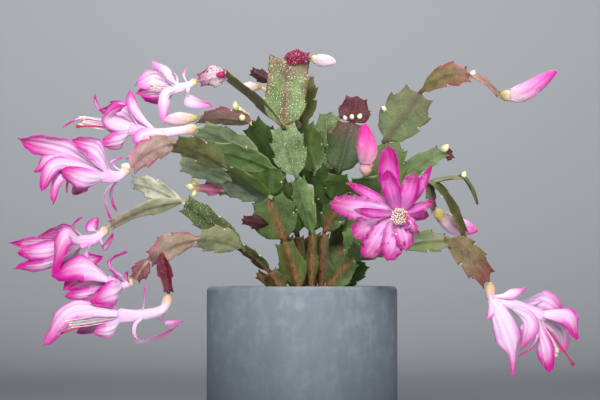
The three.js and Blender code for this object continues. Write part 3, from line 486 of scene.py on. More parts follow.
LOOKS = {
    "leafy": ((86, 106, 54), (62, 74, 40), 0.6, (134, 138, 88), 0.6, (98, 112, 62), 0.4, 0.25, 0),
    "green_brown": ((98, 114, 62), (78, 72, 42), 0.7, (136, 112, 76), 0.7, (112, 96, 62), 0.6, 0.3, 0),
    # Deep: a darker green, given mostly to inner and back segments, partly their own green and partly
    # painted shade of the plant's inside
    "deep": ((62, 82, 38), (44, 54, 28), 0.6, (96, 110, 62), 0.6, (66, 90, 46), 0.3, 0.15, 0),
    "fresh": ((112, 138, 88), (88, 112, 62), 0.5, (178, 186, 122), 0.8, (124, 146, 98), 0.3, 0.45, 0),
    "glaucous": ((236, 240, 218), (182, 190, 154), 0.6, (150, 122, 96), 0.8, (226, 222, 198), 0.5, 0.2, 0),
    "mist": ((164, 182, 148), (116, 136, 100), 0.6, (112, 108, 76), 0.7, (176, 188, 154), 0.4, 0.3, 0),
    "edge": ((128, 130, 96), (88, 76, 56), 0.6, (164, 166, 104), 0.9, (142, 134, 104), 0.6, 0.4, 0),
    "slender": ((210, 210, 176), (104, 96, 72), 0.8, (196, 146, 144), 0.8, (210, 184, 170), 0.7, 0.3, 0),
    "olive": ((112, 118, 74), (84, 76, 48), 0.8, (116, 74, 58), 0.7, (120, 112, 72), 0.4, 0.3, 0),
    "soft_olive": ((156, 160, 124), (112, 108, 76), 0.7, (126, 92, 74), 0.5, (146, 142, 104), 0.3, 0.3, 0),
    "crown": ((118, 142, 92), (112, 62, 62), 0.85, (134, 96, 86), 0.9, (130, 100, 88), 0.75, 1.2, 0.01),
    "top_green": ((98, 110, 72), (84, 54, 52), 0.95, (116, 72, 62), 0.8, (108, 96, 74), 0.6, 0.35, 0),
    "frosted": ((110, 132, 92), (92, 100, 72), 0.5, (126, 96, 84), 0.4, (146, 154, 116), 0.3, 0.9, 0),
    "spotted": ((94, 112, 70), (62, 48, 36), 0.8, (108, 80, 62), 0.5, (106, 120, 80), 0.3, 1, 0),
    "dusky": ((56, 76, 38), (46, 46, 30), 0.5, (84, 46, 44), 0.7, (92, 50, 50), 0.85, 0.3, 0),
    "olive_red": ((122, 112, 72), (98, 66, 56), 0.6, (162, 58, 84), 1, (136, 72, 76), 0.7, 0.3, 0),
    "olive_deep": ((92, 96, 54), (74, 68, 42), 0.6, (98, 64, 52), 0.6, (96, 84, 52), 0.4, 0.2, 0),
    "maroon_green": (
        (176, 138, 136), (148, 142, 90),
        0.85, (158, 84, 108), 0.9, (168, 126, 132), 0.7, 0.8, 0,
    ),
    "pink_brown": ((156, 120, 110), (132, 94, 90), 0.5, (168, 88, 112), 0.8, (160, 136, 96), 0.5, 0.3, 0),
    "blushed": ((212, 182, 174), (156, 128, 112), 0.7, (196, 70, 132), 0.95, (212, 152, 172), 0.7, 0.7, 0),
    "jagged": ((196, 176, 154), (142, 112, 100), 0.8, (186, 80, 116), 0.95, (182, 124, 136), 0.9, 0.7, 0),
    "reddish": ((150, 100, 108), (200, 172, 152), 0.7, (136, 44, 78), 0.9, (128, 68, 82), 0.8, 0.6, 0),
    "mauve_grey": ((132, 114, 100), (96, 80, 66), 0.5, (120, 74, 74), 0.7, (126, 92, 92), 0.6, 0.3, 0),
    "bronze": ((126, 110, 84), (102, 84, 64), 0.5, (128, 72, 70), 0.7, (124, 62, 70), 0.8, 0.4, 0),
    "maroon": ((88, 38, 50), (72, 30, 40), 0.5, (122, 50, 70), 0.7, (106, 42, 58), 0.5, 0.3, 0),
    "dark_maroon": ((66, 32, 38), (54, 26, 30), 0.5, (96, 44, 54), 0.6, (84, 38, 48), 0.5, 0.1, 0),
    "crimson": ((112, 30, 56), (92, 26, 48), 0.5, (148, 74, 78), 0.7, (104, 34, 52), 0.6, 0.4, 0),
    "crimson_dotted": ((148, 12, 82), (110, 10, 60), 0.4, (176, 40, 112), 0.7, (140, 12, 76), 0.5, 0.9, 0),
    "dotted_pink": ((250, 230, 240), (240, 200, 222), 0.4, (150, 16, 92), 1, (190, 96, 156), 0.9, -1, 0),
    "rose": ((216, 132, 166), (194, 98, 140), 0.4, (196, 80, 130), 0.7, (230, 200, 176), 0.8, 0.2, 0),
    "cream": ((232, 208, 168), (214, 190, 140), 0.4, (230, 196, 160), 0.4, (240, 222, 196), 0.6, 0, 0),
    "ribbed": ((80, 102, 58), (112, 76, 48), 0.9, (112, 122, 80), 0.6, (84, 112, 66), 0.3, 0.25, 0.7),
    "bark_green": ((90, 104, 56), (120, 80, 50), 1, (96, 74, 50), 0.6, (94, 108, 60), 0.3, 0.2, 0.9),
    "bark_orange": ((86, 102, 56), (136, 88, 50), 1, (100, 96, 54), 0.5, (96, 112, 60), 0.3, 0.1, 1),
    "bark": ((80, 84, 50), (110, 76, 50), 1, (86, 64, 46), 0.6, (84, 86, 52), 0.3, 0.1, 1),
}

# Small closed buds on the stems: place, radius, where each one points, and its colours

BUDLETS = {
    "stem_left_front": (
        ((-104.5, -58.5, 181.5), 2.3, (-1, -0.4, 0.3), "knob"),
        ((-67, -3, 174.5), 2, (-0.5, -0.5, 1), "yellow"),
        ((-69, -3, 172), 2.2, (-1, -0.5, 0.2), "yellow"),
        ((-67.5, -1, 169.5), 1.6, (-0.6, 0.2, -1), "yellow"),
    ),
    "stem_centre_front": (
        ((-49.5, -4.5, 243.8), 2.4, (-1, 0, -0.2), "crimson"),
    ),
    "stem_centre_back": (
        ((27.5, -1.5, 215.5), 1.5, (-0.3, -0.8, 0.6), "cream"),
        ((31.5, -2, 216), 1.6, (0, -0.8, 0.7), "cream"),
        ((36, -2, 216.5), 1.7, (0.4, -0.8, 0.6), "cream"),
    ),
    "stem_right_high": (
        ((91, 22, 197), 2.4, (0.7, -0.3, 0.8), "yellow"),
        ((108, 5.5, 243.5), 1.9, (0.5, -0.2, 1), "cream"),
        ((104.5, 29.5, 180.5), 1.8, (0.3, -0.4, 1), "yellow"),
        ((53.5, 15.5, 222.5), 1.6, (-0.8, -0.2, 0.8), "cream"),
    ),
    "stem_left_back": (
        ((-39, 4, 221), 1.4, (-0.4, -0.2, 1), "yellow"),
        ((-37.5, -1, 216), 2.2, (-0.2, -1, 0.2), "yellow"),
        ((-41.5, -8.8, 221.4), 2.2, (-0.1, -0.3, 1), "yellow"),
    ),
}

# Colours at the foot and at the tip of a small bud

BUDLET_COLOURS = {
    "yellow": ((206, 204, 118), (240, 236, 182)),
    "cream": ((222, 208, 150), (246, 238, 208)),
    "knob": ((238, 206, 210), (250, 236, 240)),
    "crimson": ((150, 24, 80), (190, 50, 120)),
}

# Colours of a bloom's petals: heart, body, margin and tip, and how far the margin's colour spreads

PETAL_LOOKS = {
    "white": ((252, 247, 252), (252, 236, 250), (238, 132, 216), (226, 64, 190), 0.5),
    "pale": ((252, 244, 251), (250, 224, 248), (232, 76, 202), (214, 16, 160), 0.75),
    "pink": ((252, 242, 251), (249, 206, 243), (226, 42, 188), (208, 6, 154), 0.95),
    "rose": ((252, 241, 250), (248, 196, 241), (226, 30, 184), (208, 2, 152), 1.25),
    "magenta": ((238, 158, 220), (214, 62, 190), (192, 2, 148), (172, 0, 124), 1.35),
    "faded": ((242, 210, 238), (230, 150, 214), (194, 2, 146), (182, 0, 130), 0.9),
}

# Colours of a closed bud: foot, body, blush and tip

BUD_LOOKS = {
    "cream": ((178, 186, 70), (244, 230, 196), (252, 228, 218), (246, 208, 216)),
    "white": ((214, 202, 112), (252, 246, 226), (254, 250, 240), (250, 222, 232)),
    "pale": ((206, 198, 108), (250, 230, 222), (252, 206, 230), (238, 96, 188)),
    "warm": ((206, 196, 112), (255, 236, 232), (252, 170, 222), (236, 52, 178)),
    "hot": ((238, 206, 178), (253, 190, 206), (250, 104, 184), (226, 16, 146)),
}

# Colours of a bloom's seed case, at its foot and at the tube, and the greener ones of a white bloom

CASE_COLOURS = ((206, 196, 124), (232, 210, 176))
WHITE_CASE_COLOURS = ((186, 192, 96), (226, 220, 168))

# Profiles: places along the length, and the radius or half width there as a share of the table's own

TUBE_PLACES = (0.0, 0.04, 0.09, 0.14, 0.19, 0.24, 0.3, 0.45, 0.6, 0.8, 0.94, 1.0)
TUBE_SHARES = (0.24, 0.48, 0.68, 0.74, 0.7, 0.6, 0.58, 0.66, 0.75, 0.88, 0.98, 1.0)
BUD_PLACES = (0.0, 0.04, 0.1, 0.15, 0.2, 0.25, 0.35, 0.5, 0.65, 0.78, 0.88, 0.95, 1.0)
BUD_SHARES = (0.24, 0.5, 0.7, 0.72, 0.66, 0.66, 0.86, 1.0, 0.98, 0.82, 0.58, 0.34, 0.08)
PETAL_PLACES = (0.0, 0.12, 0.3, 0.45, 0.6, 0.75, 0.87, 0.95, 1.0)
PETAL_SHARES = (0.42, 0.66, 0.96, 1.07, 1.02, 0.8, 0.46, 0.2, 0.03)
BLUNT_SHARES = (0.42, 0.64, 0.9, 1.02, 1.07, 1.0, 0.8, 0.52, 0.08)

# Places across a segment and across a petal, from one margin at -1 to the other at 1

SEGMENT_SECTION = np.array((
    -1, -0.96, -0.86, -0.7, -0.5, -0.32, -0.2, -0.12, -0.05,
    0.05, 0.12, 0.2, 0.32, 0.5, 0.7, 0.86, 0.96, 1))
PETAL_SECTION = np.array((
    -1, -0.97, -0.9, -0.8, -0.68, -0.56, -0.44, -0.32, -0.2, -0.09, 0.0,
    0.09, 0.2, 0.32, 0.44, 0.56, 0.68, 0.8, 0.9, 0.97, 1))

# Loose soil: colours of the bed and of the crumbs, how common each of these is, and the crumbs' sizes

SOIL_COLOUR = (74, 52, 38)
CRUMB_COLOURS = ((66, 46, 32), (96, 68, 46), (50, 36, 28), (128, 92, 60), (214, 208, 196))
CRUMB_SHARES = (0.35, 0.25, 0.2, 0.13, 0.07)
CRUMB_SIZES = (0.9, 2.1)

# Stage, in metres: how far the camera stands beside the pot's axis, the radius of the flat floor and of
# its bend up into the backdrop, the height of the backdrop's top, and the light of the room

CAMERA_ASIDE = -0.00126
FLOOR_FLAT = 1.2
FLOOR_BEND = 2.4
FLOOR_TOP = 3.4
ROOM_COLOUR = (0.92, 0.96, 1.0, 1.0)
ROOM_STRENGTH = 0.22

# Square soft lights, in metres: place, the point that each faces, its size, the spread of its beam in
# degrees, and the setting that holds its power

LIGHTS = {
    "key_softbox": ((-0.12, -1.4, 0.8), (0.0, 0.0, 0.24), 0.5, 40, "key_power"),
    "fill_softbox": ((0.6, -1.35, 0.1), (0.0, 0.0, 0.24), 0.7, 40, "fill_power"),
    "top_softbox": ((0.1, 0.3, 1.1), (0.0, 0.0, 0.18), 0.5, 50, "top_power"),
    "backdrop_softbox": ((0.0, 1.0, 2.3), (0.0, 3.6, 1.0), 1.2, 130, "backdrop_power"),
}


def unit(vectors):
    """Vectors divided by their own lengths."""
    vectors = np.asarray(vectors, dtype=float)
    return vectors / np.linalg.norm(vectors, axis=-1, keepdims=True)


def smooth_step(low, high, values):
    """Zero below low, one above high, and 3t2 - 2t3 of the share t between them."""
    share = np.clip((values - low) / (high - low), 0.0, 1.0)
    return share * share * (3.0 - 2.0 * share)


def bell(distance, width):
    """Bell curve: e to the power of minus (distance / width) squared."""
    return np.exp(-((distance / width) ** 2))


def linear(colour):
    """Linear light from an sRGB colour of 0 to 255: ((c + 0.055) / 1.055) to the power 2.4.

    Here c is the colour's share of 255, and below 0.04045 the light is c / 12.92.
    """
    share = np.asarray(colour, dtype=float) / 255.0
    return np.where(share <= 0.04045, share / 12.92, ((share + 0.055) / 1.055) ** 2.4)


def blend(first, second, share):
    """Colours (1 - share) of the first plus share of the second, over whole arrays."""
    share = np.asarray(share, dtype=float)[..., None]
    return first * (1.0 - share) + second * share


def full_turn(count):
    """Angles of so many points spread evenly about a full turn."""
    return np.linspace(0, 2 * math.pi, count, endpoint=False)


def together(*parts):
    """Arrays spread to one shape and stacked along a new last axis."""
    return np.stack(np.broadcast_arrays(*parts), -1)


def curve_points(controls, places):
    """Points on a smooth curve through control points.

    The curve is a centripetal Catmull-Rom spline. The places run from 0 to 1, spread evenly over the
    spans. In a span from P1 to P2, the slopes at its ends come from the points about them, each
    distance counted as its square root, and the point is the cubic with those ends and slopes.
    """
    controls = np.asarray(controls, dtype=float)
    padded = np.vstack((2 * controls[0] - controls[1], controls, 2 * controls[-1] - controls[-2]))
    run = np.clip(np.asarray(places, dtype=float), 0.0, 1.0) * (len(controls) - 1)
    span = np.minimum(run.astype(int), len(controls) - 2)
    t = (run - span)[:, None]
    p0, p1, p2, p3 = (padded[span + step] for step in range(4))
    d0, d1, d2 = (
        np.sqrt(np.linalg.norm(b - a, axis=1, keepdims=True)) for a, b in ((p0, p1), (p1, p2), (p2, p3))
    )
    m1 = ((p1 - p0) / d0 - (p2 - p0) / (d0 + d1) + (p2 - p1) / d1) * d1
    m2 = ((p2 - p1) / d1 - (p3 - p1) / (d1 + d2) + (p3 - p2) / d2) * d1
    return p1 + m1 * t + (3 * (p2 - p1) - 2 * m1 - m2) * t**2 + (2 * (p1 - p2) + m1 + m2) * t**3


def curve_tangents(controls, places):
    """Directions of the same curve: the unit difference of two points 0.002 apart about each place."""
    places = np.asarray(places, dtype=float)
    ahead = curve_points(controls, np.minimum(places + 0.001, 1.0))
    behind = curve_points(controls, np.maximum(places - 0.001, 0.0))
    return unit(ahead - behind)


def across_frame(tangents, reference=(0.0, 1.0, 0.2)):
    """Two directions square to each tangent: reference x tangent made unit, and tangent x that."""
    side = unit(np.cross(np.asarray(reference), tangents))
    return side, np.cross(tangents, side)


def round_ring(side, up, angle):
    """Directions about a path: the cosine of the angle times the side plus its sine times the up."""
    return np.cos(angle)[..., None] * side[:, None] + np.sin(angle)[..., None] * up[:, None]


def flat_ring(across):
    """Places about a flat section, over its upper face and back under it, and the face of each.

    The face is 1 on the upper side, with both margins, and -1 on the under side.
    """
    x = np.concatenate((across, across[-2:0:-1]))
    face = np.concatenate((np.ones(len(across)), -np.ones(len(across) - 2)))
    return x, face


def loft(rings, tint, traits=(0.0, 0.0, 0.0), run=(0.0, 0.0, 0.0), slot=0):
    """Closed surface through a stack of closed rings.

    The rings are stations x points x 3, joined by quads between neighbours, with a fan of triangles
    to the mean of the first and of the last ring. The faces are turned so that the signed volume,
    the sum of a . (b x c) over the triangles, is positive. Tint, traits and run are spread over the
    rings.
    """
    stations, count = rings.shape[:2]

    def spread(values):
        flat = np.broadcast_to(np.asarray(values, dtype=float), rings.shape)
        return np.concatenate((flat.reshape(-1, 3), flat[:1].mean(axis=1), flat[-1:].mean(axis=1)))

    points = spread(rings)
    side = np.arange(count)
    following = (side + 1) % count
    rows = (np.arange(stations - 1) * count)[:, None]
    quads = np.stack((rows + side, rows + following, rows + following + count, rows + side + count), -1)
    quads = quads.reshape(-1, 4)
    low = np.full(count, stations * count)
    last = (stations - 1) * count
    fans = np.concatenate((
        np.stack((low, following, side), -1),
        np.stack((low + 1, last + side, last + following), -1),
    ))
    triangles = np.concatenate((quads[:, :3], quads[:, [0, 2, 3]], fans))
    a, b, c = (points[triangles[:, corner]] for corner in range(3))
    if np.einsum("ij,ij->", a, np.cross(b, c)) < 0:
        quads, fans = quads[:, ::-1], fans[:, ::-1]
    return {
        "points": points,
        "quads": quads,
        "fans": fans,
        "tint": spread(tint),
        "traits": spread(traits),
        "run": spread(run),
        "slot": slot,
    }


def add_piece(name, shapes, materials):
    """Object from closed surfaces in millimetres, joined into one mesh in metres.

    Each surface keeps its own points, and its faces are numbered on from those before it.
    """
    starts = np.cumsum([0] + [len(shape["points"]) for shape in shapes[:-1]])
    points = np.concatenate([shape["points"] for shape in shapes]) * MM
    faces, slots = [], []
    for shape, start in zip(shapes, starts):
        faces += (shape["quads"] + start).tolist() + (shape["fans"] + start).tolist()
        slots += [shape["slot"]] * (len(shape["quads"]) + len(shape["fans"]))
    mesh = bpy.data.meshes.new(name)
    mesh.from_pydata(points.tolist(), [], faces)
    mesh.polygons.foreach_set("material_index", slots)
    mesh.polygons.foreach_set("use_smooth", np.ones(len(faces), dtype=bool))
    for label, kind, field, width in (
        ("tint", "FLOAT_COLOR", "color", 4),
        ("traits", "FLOAT_COLOR", "color", 4),
        ("run", "FLOAT_VECTOR", "vector", 3),
    ):
        values = np.concatenate([shape[label] for shape in shapes])
        if width == 4:
            values = np.hstack((values, np.ones((len(values), 1))))
        mesh.attributes.new(label, kind, "POINT").data.foreach_set(field, values.ravel())
    for material in materials:
        mesh.materials.append(material)
    mesh.update()
    piece = bpy.data.objects.new(name, mesh)
    bpy.context.scene.collection.objects.link(piece)
    return piece


def dress(piece, node):
    """The piece stands for a node, whose own part is hidden, and rides with the pot."""
    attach(piece, "root")
    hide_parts(node)


# Leafy stems

def fine_outline(rows):
    """Margin rows of an outline, worked out finer.

    Between two rows the margin widens as the sine of the share, which bulges it, or narrows as the
    share to the power 0.6, which undercuts the tooth. From the horns the end dips by a sine and
    comes in to the areole. Returns middle place, left place, left share, right place, right share,
    and one where a tooth has its point.
    """
    rows = np.asarray(rows)
    middle = rows[:, 0]
    key = np.stack((middle, middle + rows[:, 3], rows[:, 1], middle + rows[:, 4], rows[:, 2]), -1)
    neck = np.array((-0.03, -0.03, 0.13, -0.03, 0.13, 0.0))
    fine = [neck[None]]
    for start, end in zip(key[:-1], key[1:]):
        rises = end[2] > start[2]
        t = np.linspace(0.0, 1.0, 9 if rises else 5, endpoint=False)[:, None]
        share = np.sin(t * math.pi / 2) if rises else t**0.6
        part = start + (end - start) * t
        part[:, [2, 4]] = start[[2, 4]] + (end[[2, 4]] - start[[2, 4]]) * share
        point = (t == 0.0) & (not rises)
        fine.append(np.hstack((part, point)))
    t = np.linspace(0.0, 1.0, 7)[:, None]
    end = np.array((1.0, 1.0, 0.07, 1.0, 0.07))
    part = key[-1] + (end - key[-1]) * t
    part[:, [1, 3]] -= 0.03 * np.sin(math.pi * t)
    part[:, [2, 4]] = end[[2, 4]] + (key[-1][[2, 4]] - end[[2, 4]]) * (1 - t) ** 1.2
    fine.append(np.hstack((part, t == 0.0)))
    return np.concatenate(fine)


FINE_OUTLINES = {form: fine_outline(rows) for form, (_, rows) in FORMS.items()}


def segment_axes(base, tip, turn):
    """Directions of a segment: along it, its sideways and its facing, turned about its length."""
    along = unit(tip - base)
    facing = unit(FRONT + along * along[1])
    across = np.cross(along, facing)
    angle = math.radians(turn)
    side = across * math.cos(angle) + facing * math.sin(angle)
    return along, side, facing * math.cos(angle) - across * math.sin(angle)


def segment_colours(look, place, x, distance, chance):
    """Tint and traits of a segment's points.

    The tip's colour comes in by a smooth step over the last half. The rib's colour is a bell curve of
    the distance from the middle, and a painted shade beside it, a darker line along the foot of the
    ridge, is a bell curve about its own place.
    The margin's colour comes in by a smooth step of the share x of the half width, in patches drawn by
    a sine. Blade, tip and margin share one shade. The traits are pale specks, cork and crimson dots.
    """
    blade_tint, rib_tint, rib_share, edge_tint, edge_share, tip_tint, tip_share, specks, cork = LOOKS[look]
    shade = chance.uniform(*SEGMENT_SHADE)
    tint = np.broadcast_to(linear(blade_tint) * shade, (*distance.shape, 3))
    tint = blend(tint, linear(tip_tint) * shade, tip_share * smooth_step(0.5, 0.95, place))
    line = bell(distance, CORKY_RIB_LINE if cork else RIB_LINE) * (1 - 0.4 * place)
    tint = blend(tint, linear(rib_tint), rib_share * line)
    # Painted shade: the blade is darkened along a line on each side of the rib, further out beside a corky
    # rib
    beside = bell(distance - RIB_SHADE_PLACE * (2 if cork else 1), RIB_SHADE_WIDTH) * (1 - 0.5 * place)
    tint = tint * (1 - RIB_SHADE_DEPTH * beside[..., None])
    rim = smooth_step(0.6 if edge_share > BROAD_RIM else 0.9, 1.0, np.abs(x))[None]
    rim = rim * (0.6 + 0.4 * np.sin(9 * place + 3 * chance.random()))
    tint = blend(tint, linear(edge_tint) * shade, np.clip(edge_share * rim, 0, 1))
    grey = tint.mean(axis=-1, keepdims=True)
    tint = np.maximum(grey + VIVID * (tint - grey), 0.004)
    return tint, together(max(specks, 0.0), cork * line, max(-specks, 0.0))


def segment(base, tip, width, turn, arch, form, look, chance):
    """One flat segment of a stem, with its margins.

    The middle runs from base to tip and arches up by arch x 4p(1 - p). A point at share x of the
    half width lies that share of the way to the margin, and a tooth is drawn out forward and outward by
    the sixth and seventh powers of x. The blade's half thickness is its rim plus its belly times
    (1 - x2), rounded off at the margin, and the rib adds a bell curve of the distance from the
    middle. The blade bends by a camber times x2 and its margins wave by a sine.
    """
    rib, _ = FORMS[form]
    base, tip = np.asarray(base, dtype=float), np.asarray(tip, dtype=float)
    along, side, normal = segment_axes(base, tip, turn)
    rows = FINE_OUTLINES[form]

    def middle(place):
        return base + (tip - base) * place[:, None] + UP * (arch * 4 * place * (1 - place))[:, None]

    swell = 1 + 0.03 * np.sin(2 * math.pi * (1.7 * rows[:, 0] + chance.random()))
    reach = rows[:, [2, 4]] * swell[:, None] * width / 2
    left = middle(rows[:, 1]) - side * reach[:, :1]
    right = middle(rows[:, 3]) + side * reach[:, 1:]
    spine = middle(rows[:, 0])
    x, face = flat_ring(SEGMENT_SECTION)
    edge = np.where(x[None, :, None] < 0, left[:, None], right[:, None])
    rings = spine[:, None] + (edge - spine[:, None]) * np.abs(x)[None, :, None]
    point = along * TOOTH_POINT * np.abs(x)[:, None] ** 6 + side * TOOTH_POINT * 0.6 * x[:, None] ** 7
    rings = rings + rows[:, 5, None, None] * point[None]
    distance = np.linalg.norm(rings - spine[:, None], axis=-1)
    place = rows[:, :1]
    blade = BLADE_RIM + BLADE_BELLY * (1 - x**2)[None]
    ridge = np.maximum(rib * (1 - 0.4 * place) / 2 - BLADE_RIM - BLADE_BELLY, 0.1)
    ridge = ridge * bell(distance, WOODY_RIB_WIDTH if form == "old" else RIB_WIDTH)
    half = (blade + ridge) * np.sqrt(1 - x**8)[None]
    camber = chance.uniform(-0.12, 0.16) * width / 2
    wave = 0.5 * np.sin(2 * math.pi * (1.5 * place + chance.random() + 0.25 * np.sign(x)[None]))
    bend = (camber * x**2)[None] * np.sin(math.pi * np.clip(place, 0, 1)) + wave * np.abs(x)[None] ** 3
    rings = rings + normal * (face[None] * half + bend)[..., None]
    tint, traits = segment_colours(look, place, x, distance, chance)
    return loft(rings, tint, traits), (left, right, normal, rows)


def nub(place, radius, direction, colours, stretch=1.5, stations=8, count=10):
    """Small closed bud: rings along a direction whose radius is a sine of the place to the power 0.8."""
    direction = unit(direction)
    side, up = across_frame(direction[None], (0.3, 1.0, 0.2))
    share = np.linspace(0.03, 0.99, stations)
    size = radius * np.sin(math.pi * share**0.85) ** 0.8
    middle = np.asarray(place) + direction * ((share - 0.25) * 2 * radius * stretch)[:, None]
    rings = middle[:, None] + round_ring(side, up, full_turn(count)) * size[:, None, None]
    tint = blend(linear(colours[0]), linear(colours[1]), smooth_step(0.1, 0.6, share))[:, None]
    return loft(rings, tint)


def thorn(place, direction, length):
    """Fine bristle: a three-sided cone from a place along a direction."""
    direction = unit(direction)
    side, up = across_frame(direction[None])
    share = np.array((0.0, 0.6, 1.0))
    middle = np.asarray(place) + direction * (share * length)[:, None]
    size = BRISTLE_RADIUS * (1.05 - share)
    rings = middle[:, None] + round_ring(side, up, full_turn(3)) * size[:, None, None]
    return loft(rings, linear(BRISTLE_COLOUR))


def areoles(margins, chance):
    """Woolly pads with a few bristles, in the notches behind the teeth and between the horns.

    A notch is a row where the left margin's share is smaller than before it and no larger than after.
    """
    left, right, normal, rows = margins
    shapes = []
    notches = [
        row for row in range(2, len(rows) - 8)
        if rows[row, 2] < rows[row - 1, 2] and rows[row, 2] <= rows[row + 1, 2]
    ]
    spots = []
    for row in notches:
        spots.append((left[row], left[row] - right[row]))
        spots.append((right[row], right[row] - left[row]))
    spots.append(((left[-1] + right[-1]) / 2, left[-1] + right[-1] - left[3] - right[3]))
    for spot, outward in spots:
        outward = unit(outward)
        shapes.append(nub(spot - outward * 0.3, WOOL_RADIUS, outward, WOOL_COLOURS, 0.8, 5, 6))
        for _ in range(BRISTLES):
            lean = outward + 0.5 * normal * chance.uniform(-1, 1) + 0.4 * chance.normal(size=3)
            shapes.append(thorn(spot, lean, chance.uniform(*BRISTLE_LENGTHS)))
    return shapes


def foot(root, top):
    """Round woody foot of a stem, from its end in the soil to its first segment.

    Radius against height runs straight between the foot's levels, with small knots added by two sines.
    """
    share = np.linspace(0, 1, 22)
    start = np.array((root[0], root[1], ROOT_BOTTOM))
    middle = start + (np.asarray(top) - start) * share[:, None]
    height = middle[:, 2]
    radius = np.interp(height, FOOT_LEVELS, FOOT_RADII)
    angle = full_turn(18)
    knots = 1 + 0.05 * np.sin(1.3 * height)[:, None] * np.sin(3 * angle)[None]
    ring = together(np.cos(angle), np.sin(angle), 0.0)
    rings = middle[:, None] + ring[None] * (radius[:, None] * knots)[..., None]
    return loft(rings, linear(FOOT_COLOUR), (0.0, 1.0, 0.0))


def leafy_stem(name, chance):
    """All the segments of a stem, each from the joint it grows at, with areoles and small buds.

    A segment sinks its neck into the one before it, unless it carries on straight from the last row.
    """
    root, rows = STEMS[name]
    joints, headings, shapes = {"root": root}, {}, []
    for row, (label, start, tip, width, turn, arch, form, look) in enumerate(rows):
        base = np.array(joints[start] if isinstance(start, str) else start, dtype=float)
        heading = unit(np.asarray(tip) - base)
        follows = row > 0 and rows[row - 1][0] == start
        if row > 0 and not (follows and math.acos(np.clip(headings[start] @ heading, -1, 1)) <= SHARP_BEND):
            base = base - heading * NECK_SINK
        shape, margins = segment(base, tip, width, turn, arch, form, look, chance)
        shapes.append(shape)
        if form in ("leaf", "slim", "crown"):
            shapes += areoles(margins, chance)
        joints[label] = tip
        headings[label] = heading
        if row == 0:
            shapes.append(foot(root, base + heading * FOOT_REACH))
    for place, radius, direction, colours in BUDLETS.get(name, ()):
        shapes.append(nub(place, radius, direction, BUDLET_COLOURS[colours]))
    return shapes


# Blooms and buds

def seated_controls(on, places):
    """Control points from the tip of the segment that carries the bloom, starting just clear of it."""
    stem, label = on.split(".")
    tip = next(row[2] for row in STEMS[stem][1] if row[0] == label)
    controls = np.array((tip, *places), dtype=float)
    controls[0] += curve_tangents(controls, [0.0])[0] * BLOOM_GAP
    return controls


def smooth_profile(places, keys, shares):
    """Shares at the places, eased between the keys by smoothing a fine straight-line table."""
    fine = np.linspace(0, 1, 401)
    table = np.interp(fine, keys, shares)
    padded = np.pad(table, 12, mode="edge")
    table = np.convolve(padded, np.ones(25) / 25, mode="valid")
    return np.interp(places, fine, table)


def flower_tube(controls, mouth, look, chance):
    """Seed case and tube of a bloom: rings along its curve whose radius follows the profile.

    The seed case is greener on a white bloom. Five soft flutes are added as a cosine of five times
    the angle, growing towards the mouth. The last rings turn in, so that the tube's end is hidden
    behind the petals.
    """
    places = np.linspace(0, 1, PETAL_STATIONS)
    middle = curve_points(controls, places)
    side, up = across_frame(curve_tangents(controls, places))
    angle = full_turn(TUBE_SIDES)
    radius = mouth * smooth_profile(places, TUBE_PLACES, TUBE_SHARES)
    radius = radius * (1 - 0.55 * smooth_step(0.93, 1.0, places))
    flutes = 1 + 0.06 * smooth_step(0.3, 0.9, places)[:, None] * np.cos(5 * angle)[None]
    rings = middle[:, None] + round_ring(side, up, angle) * (radius[:, None] * flutes)[..., None]
    heart, body, edge, _, _ = PETAL_LOOKS[look]
    case = WHITE_CASE_COLOURS if look == "white" else CASE_COLOURS
    tint = blend(linear(case[0]), linear(case[1]), smooth_step(0.0, 0.2, places))
    tint = blend(tint, blend(linear(heart), linear(body), places), smooth_step(0.16, 0.34, places))
    streak = 0.25 * smooth_step(0.3, 1.0, places)[:, None] * (0.5 + 0.5 * np.cos(5 * angle))[None] ** 3
    tint = blend(tint[:, None], linear(edge), streak)
    run = together(places[:, None], angle[None] / 3, chance.random() * 9)
    return loft(rings, tint, (0.0, 0.0, 1.0), run)


def petal_strip(controls, mouth, lean, row, chance):
    """Points along the middle of a petal, its sideways direction and its normal at each.

    The line starts inside the tube, on the side of the petal's first point, and its face is square to
    the flower's axis there. On a broad petal the normal moves from there towards the front or back by
    the lean. The strip rolls a little about its own middle on the way to its tip.
    """
    start, width, points = row[:3]
    base = curve_points(controls, [start])[0]
    axis = curve_tangents(controls, [start])[0]
    outward = np.asarray(points[0], dtype=float) - base
    outward = unit(outward - axis * (outward @ axis))
    line = np.array((base + outward * mouth * PETAL_SEAT, *points), dtype=float)
    places = np.linspace(0, 1, PETAL_STATIONS)
    middle = curve_points(line, places)
    tangents = curve_tangents(line, places)
    sideways = np.cross(axis, outward)
    flat = unit(sideways - tangents * (tangents @ sideways)[:, None])
    inward = np.cross(tangents, flat)
    front = -FRONT if np.cross(curve_tangents(line, [0.5])[0], sideways)[1] > 0 else FRONT
    share = (lean if width >= BROAD_PETAL else 0.0) * np.minimum(1.0, places / LEAN_LENGTH)[:, None]
    normal = inward * (1 - share) + front * share
    normal = unit(normal - tangents * np.sum(normal * tangents, axis=1, keepdims=True))
    side = np.cross(normal, tangents)
    roll = (chance.uniform(-PETAL_ROLL, PETAL_ROLL) * smooth_step(0.2, 1.0, places))[:, None]
    rolled_side = side * np.cos(roll) + normal * np.sin(roll)
    return middle, rolled_side, normal * np.cos(roll) - side * np.sin(roll)


def petal_half_width(width, look, chance):
    """Half width of a petal along its length, mixed from a pointed and a blunt profile."""
    places = np.linspace(0, 1, PETAL_STATIONS)
    blunt = 0.95 if look in BLUNT_LOOKS and width >= BLUNT_PETAL else chance.uniform(0.0, 0.6)
    shares = (1 - blunt) * np.array(PETAL_SHARES) + blunt * np.array(BLUNT_SHARES)
    half = 1.08 * width / 2 * smooth_profile(places, PETAL_PLACES, shares)
    return np.maximum(half * (1 - 0.96 * smooth_step(0.93, 1.0, places)), 0.12)


